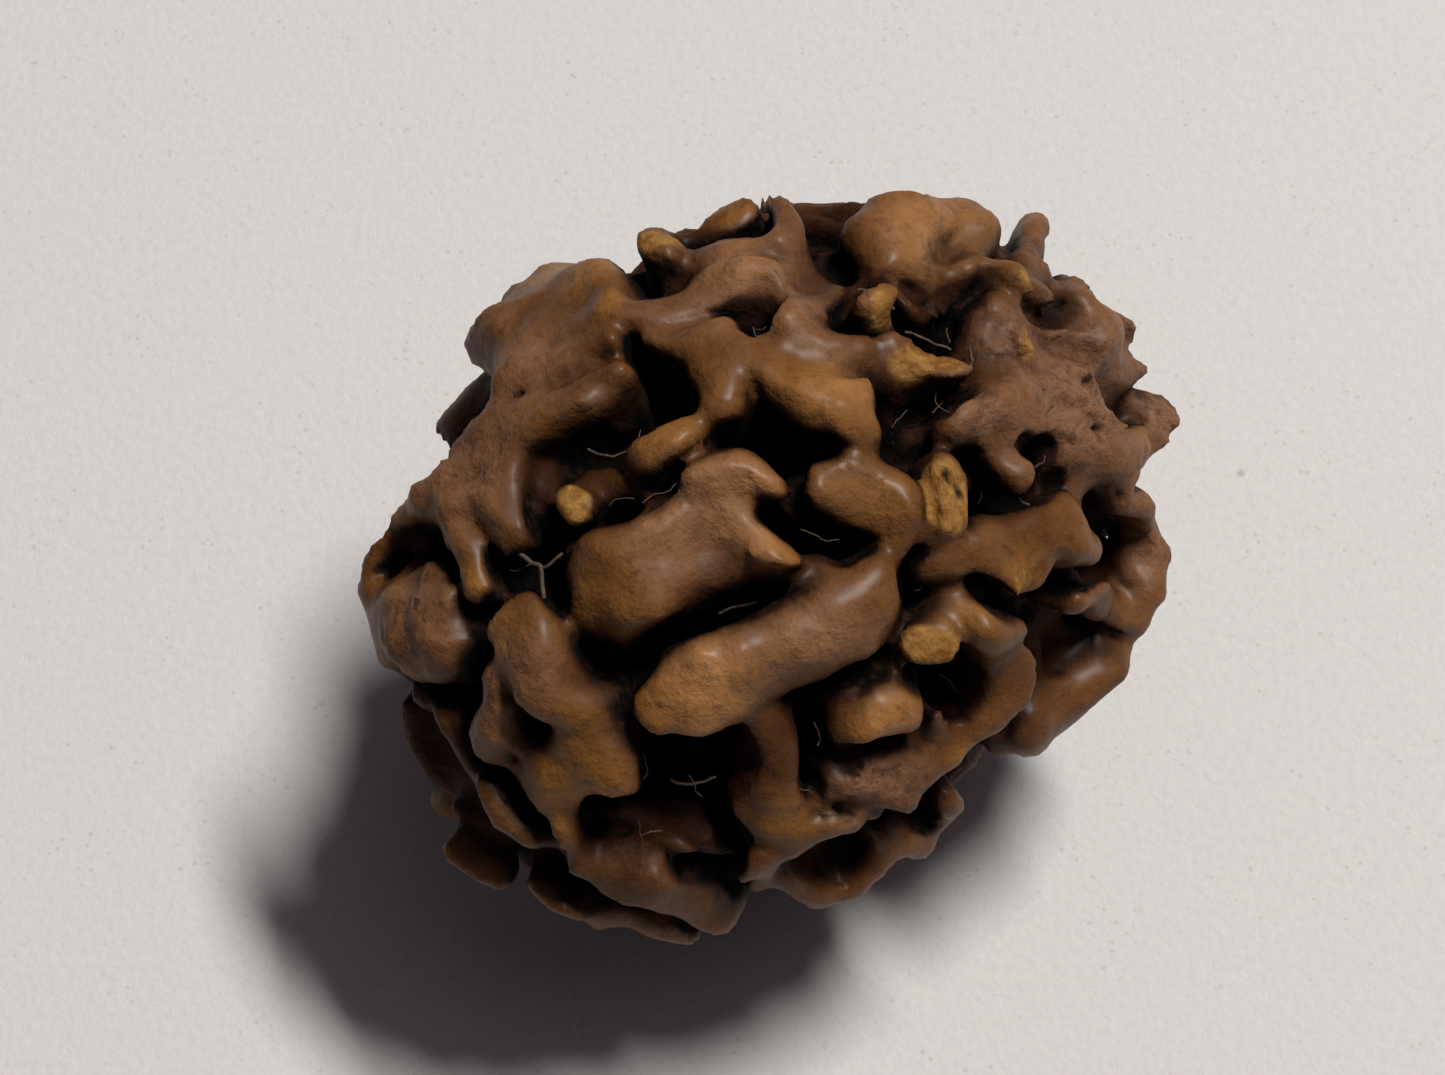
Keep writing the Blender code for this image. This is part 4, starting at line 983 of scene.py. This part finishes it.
def strayFibres():  # short hairs that lie about in the hollows
    draw = np.random.default_rng(fibreLooks["seed"])
    turn = fibreLooks["strayTurn"]
    strays = []
    for _ in range(fibreLooks["strays"]):
        path = hollows[draw.integers(len(hollows) - fibreLooks["hollowsLeftOut"])][1]
        x, y, width = path[draw.integers(len(path))]
        x, y = np.array([x, y]) + draw.uniform(-1.0, 1.0, 2) * width
        bearing = draw.uniform(0.0, math.tau)
        reach = draw.uniform(*fibreLooks["strayLength"]) / (fibreLooks["strayKnots"] - 1)
        strand = []
        for _ in range(fibreLooks["strayKnots"]):
            strand.append((x, y))
            x, y = x + reach * math.cos(bearing), y + reach * math.sin(bearing)
            bearing += draw.uniform(-turn, turn)
        depth = draw.uniform(*fibreLooks["strayDepth"])
        strays.append((depth, draw.uniform(*fibreLooks["strayRadius"]), strand))
    return strays


def makeFibres(middle):
    points = []
    edges = []
    thick = []
    for depth, radius, path in fibres + strayFibres():
        for place, (x, y) in enumerate(path):
            spot = onCrest(x, y)
            points.append((spot - crestNormal(spot) * depth - middle) * mm)
            thick.append(radius * mm)
            if place:
                edges.append((len(points) - 2, len(points) - 1))
    mesh = bpy.data.meshes.new("looseFibres")
    mesh.from_pydata(points, edges, [])
    store(mesh, "thick", thick)
    things = addThing("looseFibres", mesh)
    tubes = things.modifiers.new("tubes", "NODES")
    tubes.node_group = fibreTree(dryFibre())
    setInputs(tubes, {"Sides": fibreLooks["sides"], "Steps": fibreLooks["steps"],
                      "Wiggle": fibreLooks["wiggle"] * mm})
    finish(things, "looseFibres")
    print("fibres", len(things.data.polygons), "faces")
    return things


floorLooks = {
    "size": 0.6,  # m
    "tint": (214, 210, 206),
    "shade": (200, 196, 193),
    "cloud": (205, 203, 205),
    "fleck": (120, 112, 106),
    "grit": (150, 142, 132),
    "grainScale": 3600.0,
    "cloudScale": 120.0,
    "fleckScale": 140.0,
    "gritScale": 2600.0,
    "gritPatches": 600.0,
    "roughness": 0.9,
    "bump": 0.00008,
}


def paperFloor():
    paper = Finish("palePaper")
    place = paper.coords()
    ink = {name: colour(floorLooks[name]) for name in ("tint", "shade", "cloud", "fleck", "grit")}
    grain = paper.noise(place, floorLooks["grainScale"], 4.0, 0.6)
    cloud = paper.noise(place, floorLooks["cloudScale"], 3.0, 0.5)
    tint = paper.mix(grain.between(0.3, 0.7) * 0.5, ink["tint"], ink["shade"])
    tint = paper.mix(cloud * 0.15, tint, ink["cloud"])
    flecks = (0.03 - paper.cells(place, floorLooks["fleckScale"])).between(0.0, 0.015)
    tint = paper.mix(flecks * 0.5, tint, ink["fleck"])
    grit = (0.22 - paper.cells(place, floorLooks["gritScale"])).between(0.0, 0.1)
    grit = grit * paper.noise(place, floorLooks["gritPatches"]).between(0.48, 0.62)
    tint = paper.mix(grit * 0.28, tint, ink["grit"])
    paper.set(Base_Color=tint, Roughness=floorLooks["roughness"])
    paper.set(Normal=paper.bump(grain, floorLooks["bump"], 0.6))
    return paper.material


def makeFloor():
    half = floorLooks["size"] / 2.0
    mesh = bpy.data.meshes.new("paperSheet")
    corners = [(x * half, y * half, 0.0) for x, y in ((-1, -1), (1, -1), (1, 1), (-1, 1))]
    mesh.from_pydata(corners, [], [(0, 1, 2, 3)])
    floor = addThing("paperSheet", mesh)
    floor.data.materials.append(paperFloor())


lamps = {
    # name: direction toward the lamp (x, y, z), distance m, length and width m, watts, colour
    "window": ((0.34, 0.165, 1.0), 0.55, (0.22, 0.07), 3.22, (1.0, 0.985, 0.965)),
    "ceiling": ((0.3, 0.0, 1.0), 0.6, (0.5, 0.5), 0.2, (1.0, 0.92, 1.0)),
}
lampAim = Vector((0.0, 0.0, 0.009))
sky = {"strength": 0.05, "colour": (1.0, 0.88, 1.05)}


def makeLights():
    for name, (way, distance, sides, watts, tint) in lamps.items():
        lamp = bpy.data.lights.new(name, "AREA")
        lamp.shape = "ELLIPSE"
        lamp.size, lamp.size_y = sides
        lamp.energy = watts
        lamp.color = tint
        thing = addThing(name, lamp)
        thing.location = lampAim + Vector(way).normalized() * distance
        thing.rotation_euler = (lampAim - thing.location).to_track_quat("-Z", "Y").to_euler()
    world = bpy.data.worlds.new("softSky")
    world.use_nodes = True
    backdrop = world.node_tree.nodes["Background"]
    backdrop.inputs["Color"].default_value = (*sky["colour"], 1.0)
    backdrop.inputs["Strength"].default_value = sky["strength"]
    bpy.context.scene.world = world


def makeCamera(middle):
    lens = bpy.data.cameras.new("photoView")
    lens.sensor_fit = "HORIZONTAL"
    lens.sensor_width = sight["sensor"]
    lens.lens = sight["sensor"] * sight["distance"] / sight["pictureWidth"]
    lens.clip_start = sight["nearest"]
    camera = addThing("photoView", lens)
    turn = np.eye(4)
    turn[:3] = np.stack([right, sightUp, towardEye, (eye - middle) * mm], axis=-1)
    camera.matrix_world = Matrix(turn.tolist())
    bpy.context.scene.camera = camera


seed, middle = makeSeed(waxyShell())
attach(seed, "root")
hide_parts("seed")
print("seed in place")
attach(makeFibres(middle), "root")
makeFloor()
makeLights()
makeCamera(middle)
bpy.context.scene.view_settings.view_transform = "Standard"
